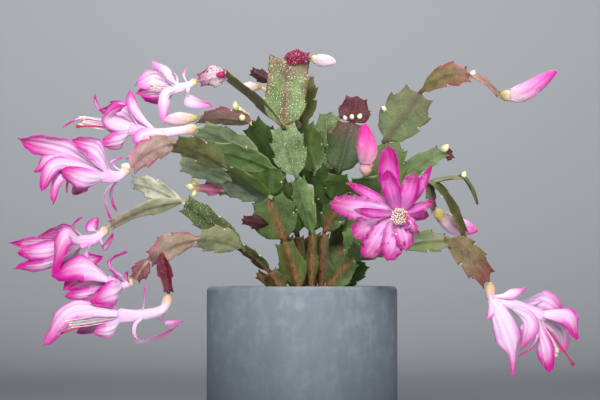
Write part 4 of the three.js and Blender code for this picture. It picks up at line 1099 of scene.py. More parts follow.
def petal_lift(x, p, half, length, width, crumple, chance):
    """Height of a petal's surface over its flat strip, and its pleats.

    A point at share x of the half width is lifted by cup x |x| to the power 1.8. The margins crumple by
    two sines of the place p, and near the tip they fold in by x2. The pleats are a cosine of x, and
    a groove along the middle is a bell curve.
    """
    cup = chance.uniform(*PETAL_CUPS) * half * (1 - 0.9 * p**2)
    wave = 2 * math.pi * (length * crumple / width / 16 * p + chance.random() + 0.2 * np.sign(x))
    ripple = crumple * (0.08 * np.sin(wave) + 0.035 * np.sin(2.7 * wave + 6 * chance.random()))
    lift = cup * np.abs(x) ** 1.8 + ripple * np.abs(x) ** 3 * smooth_step(0.15, 0.5, p)
    lift = lift + 0.5 * half * np.abs(x) ** 2 * smooth_step(0.6, 1.0, p)
    pleats = np.cos(2 * math.pi * (1.9 * x + chance.random() + 0.12 * np.sin(5 * p)))
    lift = lift + 0.03 * crumple * pleats * smooth_step(0.05, 0.35, p)
    return lift - 0.22 * bell(x * half, 0.7), pleats


def petal_colours(look, x, p, pleats, chance):
    """Tint of a petal's points.

    The heart's colour turns to the body's over the first half, sooner towards the margins. The
    margin's colour comes in along the pleats, and by a smooth step of the share x of the half width
    that starts further in as p grows. The tip's colour comes in by a smooth step of p, and the very
    rim is darker.
    """
    heart, body, edge, tip = (linear(value) for value in PETAL_LOOKS[look][:4])
    spread = PETAL_LOOKS[look][4]
    across = np.abs(x)
    body = body + (heart - body) * chance.uniform(0.0, 0.4)
    tint = blend(heart, body, smooth_step(0.05, 0.5, p) * (0.35 + 0.65 * across))
    streak = (0.5 - 0.5 * pleats) ** 2 * smooth_step(0.15, 0.5, p) * (0.3 + 0.7 * across)
    tint = blend(tint, edge, np.clip(0.4 * spread * streak, 0, 1))
    rim = smooth_step(0.55 - 0.25 * spread * p, 1.05, across) * (0.3 + 0.7 * smooth_step(0.1, 0.6, p))
    tint = blend(tint, edge, np.clip(spread * rim, 0, 1))
    end = smooth_step(0.62 - 0.12 * spread, 1.0, p + 0.1 * across) * (0.55 + 0.45 * spread)
    tint = blend(tint, tip, np.clip(end, 0, 1))
    return tint * (1 - np.array((0.16, 0.55, 0.22)) * smooth_step(0.92, 1.0, across)[..., None])


def petal(controls, mouth, lean, row, look, chance):
    """One petal: a thin cupped strip along a curve from inside the tube to its tip.

    Its half thickness is 0.14 + 0.24(1 - |x| to the power 1.5), rounded off at the margin and
    thinner to the tip. A long broad petal of three points narrows past its middle.
    """
    width, points = row[1:3]
    look = row[3] if len(row) > 3 else look
    middle, side, normal = petal_strip(controls, mouth, lean, row, chance)
    length = np.linalg.norm(np.diff(middle, axis=0), axis=1).sum()
    half = petal_half_width(width, look, chance)[:, None]
    p = np.linspace(0, 1, PETAL_STATIONS)[:, None]
    x, face = flat_ring(PETAL_SECTION)
    x, face = x[None], face[None]
    lift, pleats = petal_lift(x, p, half, length, width, width * CRUMPLES.get(look, 1.0), chance)
    if len(points) == 3 and width > BROAD_PETAL:
        half = half * (1 - 0.62 * smooth_step(*NARROWING, p))
    thick = (0.14 + 0.24 * (1 - np.abs(x) ** 1.5)) * np.sqrt(1 - x**10) * (1 - 0.4 * p)
    rings = middle[:, None] + side[:, None] * (x * half)[..., None]
    rings = rings + normal[:, None] * (lift + face * thick)[..., None]
    tint = petal_colours(look, x, p, pleats, chance)
    run = together(p * length / 20, x * half / 5, chance.random() * 9)
    return loft(rings, tint, (0.0, 0.0, 1.0), run)


def thread(start, end, bow, radii, colours, stations=14, count=6):
    """Stamen or style: a thin round thread that bows sideways by a sine and ends in a small knob.

    The radii are the thread's and the knob's. The knob is a bell curve about the place 0.96, and the
    colour turns to the knob's there.
    """
    places = np.concatenate((np.linspace(0, 0.88, stations - 6), (0.915, 0.94, 0.96, 0.975, 0.99, 1.0)))
    start, end = np.asarray(start, dtype=float), np.asarray(end, dtype=float)
    middle = start + (end - start) * places[:, None]
    middle = middle + np.asarray(bow) * np.sin(math.pi * places**1.2)[:, None]
    side, up = across_frame(unit(np.gradient(middle, axis=0)))
    size = radii[0] + (radii[1] - radii[0]) * bell(places - 0.96, 0.026)
    size[-1] *= 0.5
    rings = middle[:, None] + round_ring(side, up, full_turn(count)) * size[:, None, None]
    tint = blend(linear(colours[0]), linear(colours[1]), smooth_step(0.88, 0.93, places))[:, None]
    return loft(rings, tint, slot=1)


def flower(name, count, chance):
    """Tube, petals, stamens and style of a bloom.

    The stamens run from the throat to places scattered about the middle of their bundle, and the
    style runs past them. A bundle wider than the plain one has more stamens, by its radius to the
    power 1.5.
    """
    row = {**PLAIN_BLOOM, **BLOOMS[name]}
    mouth, look = row["mouth"], row["look"]
    controls = seated_controls(row["on"], row["tube"])
    shapes = [flower_tube(controls, mouth, look, chance)]
    shapes += [petal(controls, mouth, row["lean"], petal_row, look, chance) for petal_row in row["petals"]]
    throat = curve_points(controls, [THROAT])[0]
    bundle = np.asarray(row["stamens"], dtype=float)
    side, up = (vector[0] for vector in across_frame(unit(bundle - throat)[None]))
    reach = np.linalg.norm(bundle - throat)
    count = round(count * (row["tuft"] / PLAIN_BLOOM["tuft"]) ** 1.5)
    for index in range(count):
        turn = index * SPIRAL_TURN
        spread = math.sqrt((index + 0.5) / count)
        offset = side * math.cos(turn) + up * math.sin(turn)
        start = throat + offset * spread * mouth * 0.5
        end = bundle + offset * spread * row["tuft"]
        end = end + (bundle - throat) / reach * chance.uniform(*STAMEN_ENDS)
        bow = offset * chance.uniform(0.0, STAMEN_BOW) * reach
        shapes.append(thread(start, end, bow, STAMEN_RADII, STAMEN_COLOURS))
    bow = UP * row["arch"] * reach
    shapes.append(thread(throat, row["style"], bow, STYLE_RADII, STYLE_COLOURS, 22, 10))
    return shapes


def bud_colours(look, p):
    """Tint along a closed bud: foot, body, blush and tip, each coming in by a smooth step."""
    base_tint, body, blush, tip = (linear(value) for value in BUD_LOOKS[look])
    tint = blend(base_tint, body, smooth_step(0.1, 0.3, p))
    tint = blend(tint, blush, smooth_step(0.3, 0.7, p))
    return blend(tint, tip, smooth_step(0.55, 1.0, p))


def bud_petal(controls, radius, look, layer):
    """Petal wrapped on a closed bud.

    It spans an angle about the core that shrinks to its tip by a sine. It stands off the core by a
    step for each layer, and by a lip that grows with |x| cubed to its free edge.
    """
    start, end = 0.2 + 0.03 * layer, min(1.0, 0.5 + 0.1 * layer)
    p = start + (end - start) * np.linspace(0, 1, BUD_STATIONS)
    share = (p - start) / (end - start)
    middle = curve_points(controls, p)
    side, up = across_frame(curve_tangents(controls, p))
    size = radius * smooth_profile(p, BUD_PLACES, BUD_SHARES)
    span = 1.15 * np.sin(math.pi * (0.22 + 0.78 * share) ** 0.8) ** 0.6 + 0.05
    x, face = flat_ring(PETAL_SECTION)
    turn = layer * SPIRAL_TURN + 0.5 * share[:, None] + span[:, None] * x[None]
    lip = 0.05 * radius * (np.abs(x) ** 3)[None] + 0.03 * radius * (BUD_LAYERS - 1 - layer) / 2
    out = size[:, None] * 0.95 + lip + np.maximum(face, 0.0)[None] * 0.22
    rings = middle[:, None] + round_ring(side, up, turn) * out[..., None]
    rim = 0.5 * smooth_step(0.75, 1.0, np.abs(x))[None] * smooth_step(0.3, 0.8, p)[:, None]
    tint = blend(bud_colours(look, p)[:, None], linear(BUD_LOOKS[look][3]), rim)
    run = together(p[:, None] * 2, x[None] * radius / 5, layer)
    return loft(rings, tint, (0.0, 0.0, 1.0), run)


def closed_bud(name):
    """Closed bud: a solid core along its curve, wrapped in petals that overlap in a spiral."""
    on, radius, path, look = BUDS[name]
    controls = seated_controls(on, path)
    places = np.linspace(0, 1, BUD_STATIONS)
    middle = curve_points(controls, places)
    side, up = across_frame(curve_tangents(controls, places))
    size = radius * smooth_profile(places, BUD_PLACES, BUD_SHARES) * 0.93
    angle = full_turn(BUD_SIDES)
    rings = middle[:, None] + round_ring(side, up, angle) * size[:, None, None]
    run = together(places[:, None], angle[None], 0.5)
    core = loft(rings, bud_colours(look, places)[:, None], (0.0, 0.0, 1.0), run)
    return [core] + [bud_petal(controls, radius, look, layer) for layer in range(BUD_LAYERS)]


# Pot and soil

def lathe(section, tint, count=160, wobble=None):
    """Solid of revolution about Z: a ring of points for each radius and height of the section.

    A wobble, where one is given, is added to the points' heights.
    """
    angle = full_turn(count)
    radius, height = np.asarray(section, dtype=float).T[..., None]
    rings = together(radius * np.cos(angle), radius * np.sin(angle), height)
    if wobble is not None:
        rings[..., 2] += wobble(rings)
    return loft(rings, tint)


def pot_section(settings):
    """Radii and heights of the pot's section, from the underside up the wall, over the lip and in.

    The foot is a small round, and the lip is two quarter circles, set out by cosine and sine.
    """
    radius, height, wall = settings.radius / MM, settings.height / MM, settings.wall / MM
    lip, foot_round, floor = settings.lip_radius / MM, 1.5, settings.floor_thickness / MM
    inner = radius - wall
    quarter = np.linspace(0, math.pi / 2, 9)
    sine, cosine = np.sin(quarter), np.cos(quarter)
    foot_arc = np.stack((radius - foot_round + foot_round * sine, foot_round - foot_round * cosine), -1)
    outer_arc = np.stack((radius - lip + lip * cosine, height - lip + lip * sine), -1)
    inner_arc = np.stack((inner + lip - lip * sine, height - lip + lip * cosine), -1)
    wall_rows = [(radius, level) for level in np.linspace(3, height - lip - 1, 24)]
    under = [(12, 0), (40, 0), (radius - foot_round - 0.6, 0)]
    within = [
        (inner, height - lip - 0.6), (inner, INNER_RING), (inner, floor + 0.6), (inner, floor),
        (inner - 0.6, floor), (12, floor),
    ]
    return np.concatenate((under, foot_arc, wall_rows, outer_arc, inner_arc, within))


def ground_height(points):
    """Height of the loose soil over its level: four crossing sines of place, up to about 1.6 mm."""
    x, y = points[..., 0], points[..., 1]
    return (0.7 * np.sin(0.19 * x + 1.0) * np.cos(0.16 * y) + 0.45 * np.sin(0.41 * x - 0.33 * y)
            + 0.3 * np.sin(0.83 * y + 0.6 * x) + 0.2 * np.sin(1.3 * x) * np.cos(1.1 * y))


def soil_bed(base, reach):
    """Soil in the pot: a lathed filling from its base to its level, whose top is uneven.

    The ground's height is added by a smooth step of height just under the level, so that the sides
    stay plain.
    """
    section = [(10, base), (reach - 0.5, base), (reach, base + 0.5), (reach, INNER_RING)]
    section += [(reach, height) for height in SOIL_SIDE]
    section += [(radius, SOIL_HEIGHT - 0.6) for radius in np.linspace(reach - 0.6, 0.6, 44)]

    def uneven(rings):
        return smooth_step(*SOIL_UNEVEN, rings[..., 2]) * ground_height(rings)

    return lathe(section, linear(SOIL_COLOUR), 128, uneven)


def crumb(place, size, tint, chance):
    """Rough soil crumb: a squashed ball of five rings of seven points, each point moved by chance."""
    polar = np.linspace(0.35, math.pi - 0.35, 5)[:, None]
    angle = full_turn(7) + chance.random() * 6
    ball = together(np.sin(polar) * np.cos(angle), np.sin(polar) * np.sin(angle), np.cos(polar))
    ball *= chance.uniform(0.75, 1.2, (5, 7, 1))
    ball *= size * chance.uniform((0.7, 0.6, 0.4), (1.3, 1.1, 0.7))
    return loft(ball + np.asarray(place), tint)


def loose_crumbs(count, reach, chance):
    """Crumbs strewn evenly over a circle on the ground, clear of the stems.

    The distance from the middle is the root of a chance number, so that the crumbs are evenly spread.
    """
    radius = np.sqrt(chance.random(count)) * reach
    turn = chance.random(count) * 2 * math.pi
    spots = together(radius * np.cos(turn), radius * np.sin(turn), 0.0)
    roots = np.array([root[:2] for root, _ in STEMS.values()])
    nearest = np.linalg.norm(spots[:, None, :2] - roots[None], axis=-1).min(axis=1)
    spots = spots[nearest > ROOT_CLEARANCE]
    spots[:, 2] = SOIL_HEIGHT - 0.5 + ground_height(spots)
    tints = linear(CRUMB_COLOURS)
    picks = chance.choice(len(tints), len(spots), p=CRUMB_SHARES)
    return [
        crumb(spot, chance.uniform(*CRUMB_SIZES), tints[pick], chance)
        for spot, pick in zip(spots, picks)
    ]


# Materials

def plug(tree, socket, value):
    """Link another node's output to a socket, or set a plain value on it."""
    if isinstance(value, bpy.types.NodeSocket):
        tree.links.new(value, socket)
    else:
        socket.default_value = value


def add_node(tree, kind, values=None, **inputs):
    """Node of a kind with its own settings, and with inputs given as values or as other sockets."""
    made = tree.nodes.new(kind)
    for key, value in (values or {}).items():
        setattr(made, key, value)
    for key, value in inputs.items():
        plug(tree, made.inputs[key.replace("_", " ")], value)
    return made


def mixed(tree, share, first, second, mode="MIX"):
    """Colour mixed from two, each given as a colour or a socket."""
    made = add_node(tree, "ShaderNodeMix", {"data_type": "RGBA", "blend_type": mode})
    for index, value in ((0, share), (6, first), (7, second)):
        plug(tree, made.inputs[index], value)
    return made.outputs[2]


def scaled(tree, value, low, high, to_low=0.0, to_high=1.0):
    """Value carried from one range to another by a smooth step, held at its ends."""
    made = add_node(tree, "ShaderNodeMapRange", {"interpolation_type": "SMOOTHSTEP"}, Value=value)
    for name, number in (("From Min", low), ("From Max", high), ("To Min", to_low), ("To Max", to_high)):
        made.inputs[name].default_value = number
    return made.outputs[0]


def joined(tree, mode, first, second):
    """Two numbers or sockets put together by a math node."""
    made = add_node(tree, "ShaderNodeMath", {"operation": mode})
    plug(tree, made.inputs[0], first)
    plug(tree, made.inputs[1], second)
    return made.outputs[0]


def shared_group(name, sockets, fill):
    """Shader node group with named inputs and a mask for its output, built once and then used again."""
    if name in bpy.data.node_groups:
        return bpy.data.node_groups[name]
    group = bpy.data.node_groups.new(name, "ShaderNodeTree")
    for label, kind, default in sockets:
        socket = group.interface.new_socket(label, in_out="INPUT", socket_type=kind)
        if default is not None:
            socket.default_value = default
    group.interface.new_socket("Mask", in_out="OUTPUT", socket_type="NodeSocketFloat")
    given = group.nodes.new("NodeGroupInput").outputs
    result = group.nodes.new("NodeGroupOutput").inputs
    fill(group, given, result)
    return group


def mottle_group():
    """Cloudy patches: layered noise less a half, times the contrast, plus a half, as a mask."""
    def fill(tree, given, result):
        noise = add_node(tree, "ShaderNodeTexNoise", Vector=given["Vector"], Scale=given["Scale"],
                         Detail=given["Detail"], Roughness=0.55)
        centred = joined(tree, "SUBTRACT", noise.outputs[0], 0.5)
        spread = joined(tree, "MULTIPLY", given["Contrast"], centred)
        held = add_node(tree, "ShaderNodeClamp", Value=joined(tree, "ADD", spread, 0.5))
        tree.links.new(held.outputs[0], result["Mask"])

    return shared_group("cloudy_mottle", (
        ("Vector", "NodeSocketVector", None),
        ("Scale", "NodeSocketFloat", 40.0),
        ("Detail", "NodeSocketFloat", 3.0),
        ("Contrast", "NodeSocketFloat", 2.0),
    ), fill)


def speck_group():
    """Small round specks: the middles of Voronoi cells, fewer where a slow noise is low."""
    def fill(tree, given, result):
        cells = add_node(tree, "ShaderNodeTexVoronoi", Vector=given["Vector"], Scale=given["Scale"],
                         Randomness=1.0)
        slow = add_node(tree, "ShaderNodeTexNoise", Vector=given["Vector"],
                        Scale=joined(tree, "MULTIPLY", given["Scale"], 0.4), Detail=1.0)
        size = joined(tree, "MULTIPLY", given["Size"], joined(tree, "ADD", slow.outputs[0], 0.2))
        gap = joined(tree, "SUBTRACT", size, cells.outputs["Distance"])
        tree.links.new(scaled(tree, gap, -0.02, 0.09), result["Mask"])

    return shared_group("round_specks", (
        ("Vector", "NodeSocketVector", None),
        ("Scale", "NodeSocketFloat", 300.0),
        ("Size", "NodeSocketFloat", 0.3),
    ), fill)


def placed_group(tree, group, **inputs):
    """Mask of a shared group placed in a material with its own values."""
    made = tree.nodes.new("ShaderNodeGroup")
    made.node_tree = group
    for key, value in inputs.items():
        plug(tree, made.inputs[key], value)
    return made.outputs[0]


def mottle(tree, place, scale, detail, contrast):
    """Mask of cloudy patches in a material."""
    return placed_group(tree, mottle_group(), Vector=place, Scale=scale, Detail=detail, Contrast=contrast)


def specks(tree, place, scale, size):
    """Mask of small round specks in a material."""
    return placed_group(tree, speck_group(), Vector=place, Scale=scale, Size=size)


def drawn_out(tree, place, scale):
    """Coordinates scaled on each axis, which draws a pattern out where the scale is small."""
    return add_node(tree, "ShaderNodeMapping", Vector=place, Scale=scale).outputs[0]


def new_material(name):
    """Empty material with its output, its main shader and Object coordinates."""
    material = bpy.data.materials.new(name)
    material.use_nodes = True
    tree = material.node_tree
    tree.nodes.clear()
    output = tree.nodes.new("ShaderNodeOutputMaterial")
    shader = tree.nodes.new("ShaderNodeBsdfPrincipled")
    tree.links.new(shader.outputs[0], output.inputs[0])
    place = tree.nodes.new("ShaderNodeTexCoord").outputs["Object"]
    return material, tree, shader, place


def stored(tree, name, output="Color"):
    """Values stored on the mesh, by their name."""
    return add_node(tree, "ShaderNodeAttribute", {"attribute_name": name}).outputs[output]


def relief(tree, shader, height, strength, distance):
    """Fine surface relief from a height."""
    made = add_node(tree, "ShaderNodeBump", Height=height, Strength=strength, Distance=distance)
    tree.links.new(made.outputs[0], shader.inputs["Normal"])


def light_within(shader, weight, radius, scale):
    """Light that goes into the surface: its share, and how far it spreads in red, green and blue."""
    shader.inputs["Subsurface Weight"].default_value = weight
    shader.inputs["Subsurface Radius"].default_value = radius
    shader.inputs["Subsurface Scale"].default_value = scale


def four(colour):
    """Linear colour with a full alpha from an sRGB colour of 0 to 255."""
    return (*linear(colour), 1.0)


def pot_material(settings):
    """Matt cast mineral: cloudy blue greys, faint runs downwards, grain and pores, darker towards its foot.
    """
    material, tree, shader, place = new_material("cast_mineral")
    light, dark = (*settings.light_tone, 1.0), (*settings.dark_tone, 1.0)
    pale, lower = (*settings.pale_tone, 1.0), (*settings.foot_tone, 1.0)
    broad = mottle(tree, place, scale=16.0, detail=5.0, contrast=2.0)
    patches = mottle(tree, place, scale=110.0, detail=6.0, contrast=2.6)
    runs = mottle(tree, drawn_out(tree, place, (1.0, 1.0, 0.22)), scale=230.0, detail=4.0, contrast=2.6)
    grain = mottle(tree, place, scale=900.0, detail=3.0, contrast=1.6)
    pores = specks(tree, place, scale=210.0, size=0.16)
    dust = specks(tree, place, scale=95.0, size=0.12)
    tone = mixed(tree, broad, dark, light)
    for mask, low, high, most, colour in (
        (patches, 0.4, 1.0, 0.45, pale),
        (runs, 0.45, 1.0, 0.35, dark),
        (runs, 0.5, 0.0, 0.22, pale),
        (grain, 0.0, 1.0, 0.22, dark),
        (dust, 0.3, 1.0, 0.35, pale),
        (pores, 0.0, 1.0, 0.5, dark),
    ):
        tone = mixed(tree, scaled(tree, mask, low, high, 0.0, most), tone, colour)
    # The tone turns to a darker grey towards the foot, below about 0.105 m, along a wavy line
    level = add_node(tree, "ShaderNodeSeparateXYZ", Vector=place).outputs[2]
    level = joined(tree, "ADD", level, joined(tree, "MULTIPLY", broad, 0.012))
    tone = mixed(tree, scaled(tree, level, 0.03, 0.105, 0.98, 0.0), tone, lower)
    tree.links.new(tone, shader.inputs["Base Color"])
    tree.links.new(scaled(tree, patches, 0.0, 1.0, 0.78, 0.6), shader.inputs["Roughness"])
    height = joined(tree, "SUBTRACT", joined(tree, "MULTIPLY", grain, 0.3), pores)
    height = joined(tree, "ADD", height, joined(tree, "MULTIPLY", patches, 0.6))
    relief(tree, shader, height, 0.35, 0.0004)
    return material


def soil_material():
    """Loose dark potting soil: brown and black patches with pale fibres, rough all over."""
    material, tree, shader, place = new_material("potting_soil")
    tint = stored(tree, "tint")
    patches = mottle(tree, place, scale=260.0, detail=6.0, contrast=2.5)
    grain = mottle(tree, place, scale=1500.0, detail=3.0, contrast=2.0)
    tone = mixed(tree, patches, tint, four((34, 24, 18)))
    tone = mixed(tree, scaled(tree, grain, 0.5, 1.0, 0.0, 0.35), tone, four((128, 98, 68)))
    tree.links.new(tone, shader.inputs["Base Color"])
    tree.links.new(scaled(tree, patches, 0.0, 1.0, 0.95, 0.75), shader.inputs["Roughness"])
    relief(tree, shader, joined(tree, "ADD", patches, grain), 0.8, 0.0008)
    return material


def stem_material():
    """Waxy skin of the segments: mottling, pale specks, crimson dots, and brown cork along old ribs.

    The stored traits say how many specks, how much cork and how many dots there are at a point.
    """
    material, tree, shader, place = new_material("segment_skin")
    tint = stored(tree, "tint")
    traits = add_node(tree, "ShaderNodeSeparateColor", Color=stored(tree, "traits"))
    speck_share, cork_share, dot_share = traits.outputs[0], traits.outputs[1], traits.outputs[2]
    patches = mottle(tree, place, scale=150.0, detail=7.0, contrast=3.0)
    grain = mottle(tree, place, scale=700.0, detail=3.0, contrast=2.0)
    large = specks(tree, place, scale=760.0, size=0.34)
    small = specks(tree, place, scale=1300.0, size=0.38)
    darker = mixed(tree, 1.0, tint, (0.56, 0.58, 0.48, 1.0), "MULTIPLY")
    lighter = mixed(tree, 1.0, tint, (1.36, 1.32, 1.34, 1.0), "MULTIPLY")
    even = joined(tree, "MULTIPLY", dot_share, 0.45)
    clouds = joined(tree, "MULTIPLY", patches, scaled(tree, dot_share, 0.0, 1.0, 1.0, 0.0))
    tone = mixed(tree, joined(tree, "ADD", clouds, even), darker, lighter)
    tone = mixed(tree, scaled(tree, grain, 0.2, 1.0, 0.0, 0.35), tone, tint)
    fine = joined(tree, "MULTIPLY", small, joined(tree, "MULTIPLY", speck_share, 0.5))
    tone = mixed(tree, fine, tone, four((206, 212, 176)))
    strong = joined(tree, "MULTIPLY", large, joined(tree, "MULTIPLY", speck_share, speck_share))
    tone = mixed(tree, joined(tree, "MULTIPLY", strong, 0.8), tone, four((206, 214, 178)))
    dots = specks(tree, place, scale=600.0, size=0.46)
    tone = mixed(tree, joined(tree, "MULTIPLY", dots, dot_share), tone, four((142, 6, 66)))
    fibres = mottle(tree, drawn_out(tree, place, (1.0, 1.0, 0.35)), scale=900.0, detail=4.0, contrast=4.0)
    bark = mixed(tree, fibres, four((50, 34, 26)), four((154, 110, 72)))
    tone = mixed(tree, joined(tree, "MULTIPLY", cork_share, 0.75), tone, bark)
    tree.links.new(tone, shader.inputs["Base Color"])
    rough = scaled(tree, patches, 0.0, 1.0, 0.44, 0.6)
    rough = joined(tree, "ADD", rough, joined(tree, "MULTIPLY", cork_share, 0.3))
    tree.links.new(rough, shader.inputs["Roughness"])
    shader.inputs["Specular IOR Level"].default_value = 0.25
    light_within(shader, 0.08, (0.5, 1.0, 0.3), 0.0015)
    height = joined(tree, "MULTIPLY", grain, 0.3)
    height = joined(tree, "ADD", height, joined(tree, "MULTIPLY", large, speck_share))
    ridges = joined(tree, "MULTIPLY", joined(tree, "MULTIPLY", grain, cork_share), 2.0)
    relief(tree, shader, joined(tree, "ADD", height, ridges), 0.5, 0.00025)
    return material


def petal_material():
    """Thin satin petals: stored colours with fine lengthwise veins, and light that passes through."""
    material, tree, shader, place = new_material("petal_satin")
    tint = stored(tree, "tint")
    along = drawn_out(tree, stored(tree, "run", "Vector"), (1.1, 11.0, 1.0))
    veins = mottle(tree, along, scale=2.4, detail=3.0, contrast=2.6)
    clouds = mottle(tree, place, scale=160.0, detail=3.0, contrast=2.0)
    deeper = mixed(tree, 1.0, tint, (0.95, 0.52, 0.9, 1.0), "MULTIPLY")
    tone = mixed(tree, joined(tree, "MULTIPLY", veins, 0.75), tint, deeper)
    tone = mixed(tree, scaled(tree, clouds, 0.5, 1.0, 0.0, 0.16), tone, four((255, 246, 252)))
    tree.links.new(tone, shader.inputs["Base Color"])
    tree.links.new(scaled(tree, clouds, 0.0, 1.0, 0.5, 0.38), shader.inputs["Roughness"])
    shader.inputs["Specular IOR Level"].default_value = 0.35
    light_within(shader, 0.3, (0.6, 1.0, 0.7), 0.002)
    relief(tree, shader, veins, 0.6, 0.0004)
    return material


def thread_material():
    """Stamens and style: stored colours, slightly clouded, and soft to light."""
    material, tree, shader, place = new_material("stamen_thread")
    tint = stored(tree, "tint")
    clouds = mottle(tree, place, scale=900.0, detail=2.0, contrast=2.0)
    deeper = mixed(tree, 1.0, tint, (0.86, 0.78, 0.8, 1.0), "MULTIPLY")
    tree.links.new(mixed(tree, clouds, tint, deeper), shader.inputs["Base Color"])
    tree.links.new(scaled(tree, clouds, 0.0, 1.0, 0.6, 0.4), shader.inputs["Roughness"])
    light_within(shader, 0.2, (1.0, 0.6, 0.7), 0.001)
    relief(tree, shader, clouds, 0.2, 0.0001)
    return material


def floor_material(settings):
    """Pale matt floor with a very faint cloudiness."""
    material, tree, shader, place = new_material("studio_floor")
    clouds = mottle(tree, place, scale=2.0, detail=2.0, contrast=1.0)
    pale = (*settings.floor_tone, 1.0)
    tone = mixed(tree, scaled(tree, clouds, 0.0, 1.0, 0.0, 0.06), pale, (0.3, 0.31, 0.33, 1.0))
    tree.links.new(tone, shader.inputs["Base Color"])
    tree.links.new(scaled(tree, clouds, 0.0, 1.0, 0.85, 0.95), shader.inputs["Roughness"])
    return material


# Settings that a user would change

class CactusPotSettings(bpy.types.PropertyGroup):
    """Sizes and tones of the pot."""

    radius: bpy.props.FloatProperty(
        name="Radius", description="Outer radius of the pot", default=0.06,
        subtype="DISTANCE", unit="LENGTH")
    height: bpy.props.FloatProperty(
        name="Height", description="Height of the pot", default=0.11,
        subtype="DISTANCE", unit="LENGTH")
    wall: bpy.props.FloatProperty(
        name="Wall", description="Thickness of the wall", default=0.007,
        subtype="DISTANCE", unit="LENGTH")
    lip_radius: bpy.props.FloatProperty(
        name="Lip radius", description="Rounding of the lip", default=0.0032,
        subtype="DISTANCE", unit="LENGTH")
    floor_thickness: bpy.props.FloatProperty(
        name="Floor", description="Thickness of the pot's floor", default=0.01,
        subtype="DISTANCE", unit="LENGTH")
    light_tone: bpy.props.FloatVectorProperty(
        name="Light tone", description="Lighter grey of the clouds",
        default=(0.19, 0.234, 0.266), size=3, subtype="COLOR")
    dark_tone: bpy.props.FloatVectorProperty(
        name="Dark tone", description="Darker grey of the clouds",
        default=(0.142, 0.167, 0.195), size=3, subtype="COLOR")
    pale_tone: bpy.props.FloatVectorProperty(
        name="Pale tone", description="Palest patches and dust",
        default=(0.27, 0.32, 0.35), size=3, subtype="COLOR")
    # Darker grey that the pot's tone turns to towards its foot
    foot_tone: bpy.props.FloatVectorProperty(
        name="Foot tone", description="Darker grey of the damp foot",
        default=(0.08, 0.096, 0.115), size=3, subtype="COLOR")


class CactusPlantSettings(bpy.types.PropertyGroup):
    """Counts and chance of the plant's fine detail."""

    seed: bpy.props.IntProperty(
        name="Seed", description="Start of the chance numbers that vary the segments and petals",
        default=7)
    stamens: bpy.props.IntProperty(
        name="Stamens", description="Number of stamens in a plain bloom", default=20, min=3, max=60)
    crumbs: bpy.props.IntProperty(
        name="Soil crumbs", description="Number of crumbs strewn, less those that would lie on a stem",
        default=420, min=0, max=1500)


class CactusStageSettings(bpy.types.PropertyGroup):
    """Camera, floor and lights."""

    distance: bpy.props.FloatProperty(
        name="Camera distance", description="Distance of the camera in front of the pot's axis",
        default=1.2, subtype="DISTANCE", unit="LENGTH")
    camera_height: bpy.props.FloatProperty(
        name="Camera height", description="Height of the camera over the floor",
        default=0.116, subtype="DISTANCE", unit="LENGTH")
    pitch: bpy.props.FloatProperty(
        name="Pitch", description="How far the camera looks up",
        default=math.radians(2.306), subtype="ANGLE", unit="ROTATION")
    lens: bpy.props.FloatProperty(
        name="Lens", description="Focal length in mm on a 36 mm wide sensor",
        default=114.0, subtype="DISTANCE_CAMERA")
    key_power: bpy.props.FloatProperty(
        name="Key light", description="Power of the main soft light",
        default=1.76, subtype="POWER", unit="POWER")
    fill_power: bpy.props.FloatProperty(
        name="Fill light", description="Power of the low soft light from the right",
        default=1.3, subtype="POWER", unit="POWER")
    top_power: bpy.props.FloatProperty(
        name="Top light", description="Power of the light from above and behind",
        default=1.3, subtype="POWER", unit="POWER")
    backdrop_power: bpy.props.FloatProperty(
        name="Backdrop light", description="Power of the light on the backdrop",
        default=30.5, subtype="POWER", unit="POWER")
    floor_tone: bpy.props.FloatVectorProperty(
        name="Floor tone", description="Colour of the floor and backdrop",
        default=(0.42, 0.435, 0.46), size=3, subtype="COLOR")


# One operator for each piece or group of like pieces

class OBJECT_OT_cactus_pot(bpy.types.Operator):
    """Build the pot"""

    bl_idname = "object.cactus_pot"
    bl_label = "Pot"

    def execute(self, context):
        settings = context.scene.cactus_pot
        shape = lathe(pot_section(settings), settings.light_tone)
        piece = add_piece("pot_cast", [shape], [pot_material(settings)])
        dress(piece, "pot")
        return {"FINISHED"}


class OBJECT_OT_cactus_soil(bpy.types.Operator):
    """Build the soil with its loose crumbs"""

    bl_idname = "object.cactus_soil"
    bl_label = "Soil"

    def execute(self, context):
        pot, plant = context.scene.cactus_pot, context.scene.cactus_plant
        reach = (pot.radius - pot.wall) / MM - 0.4
        base = pot.floor_thickness / MM + 0.3
        chance = np.random.default_rng(plant.seed)
        shapes = [soil_bed(base, reach)] + loose_crumbs(plant.crumbs, reach - 2.5, chance)
        piece = add_piece("soil_loose", shapes, [soil_material()])
        dress(piece, "soil")
        return {"FINISHED"}


class OBJECT_OT_cactus_stems(bpy.types.Operator):
    """Build the leafy stems"""

    bl_idname = "object.cactus_stems"
    bl_label = "Leafy stems"

    def execute(self, context):
        skin = stem_material()
        for index, name in enumerate(STEMS):
            chance = np.random.default_rng(context.scene.cactus_plant.seed + 100 + index)
            piece = add_piece(name + "_fine", leafy_stem(name, chance), [skin])
            dress(piece, name)
        return {"FINISHED"}


class OBJECT_OT_cactus_blooms(bpy.types.Operator):
    """Build the open blooms"""

    bl_idname = "object.cactus_blooms"
    bl_label = "Blooms"

    def execute(self, context):
        plant = context.scene.cactus_plant
        skins = [petal_material(), thread_material()]
        for index, name in enumerate(BLOOMS):
            chance = np.random.default_rng(plant.seed + 200 + index)
            piece = add_piece(name + "_fine", flower(name, plant.stamens, chance), skins)
            dress(piece, name)
        return {"FINISHED"}


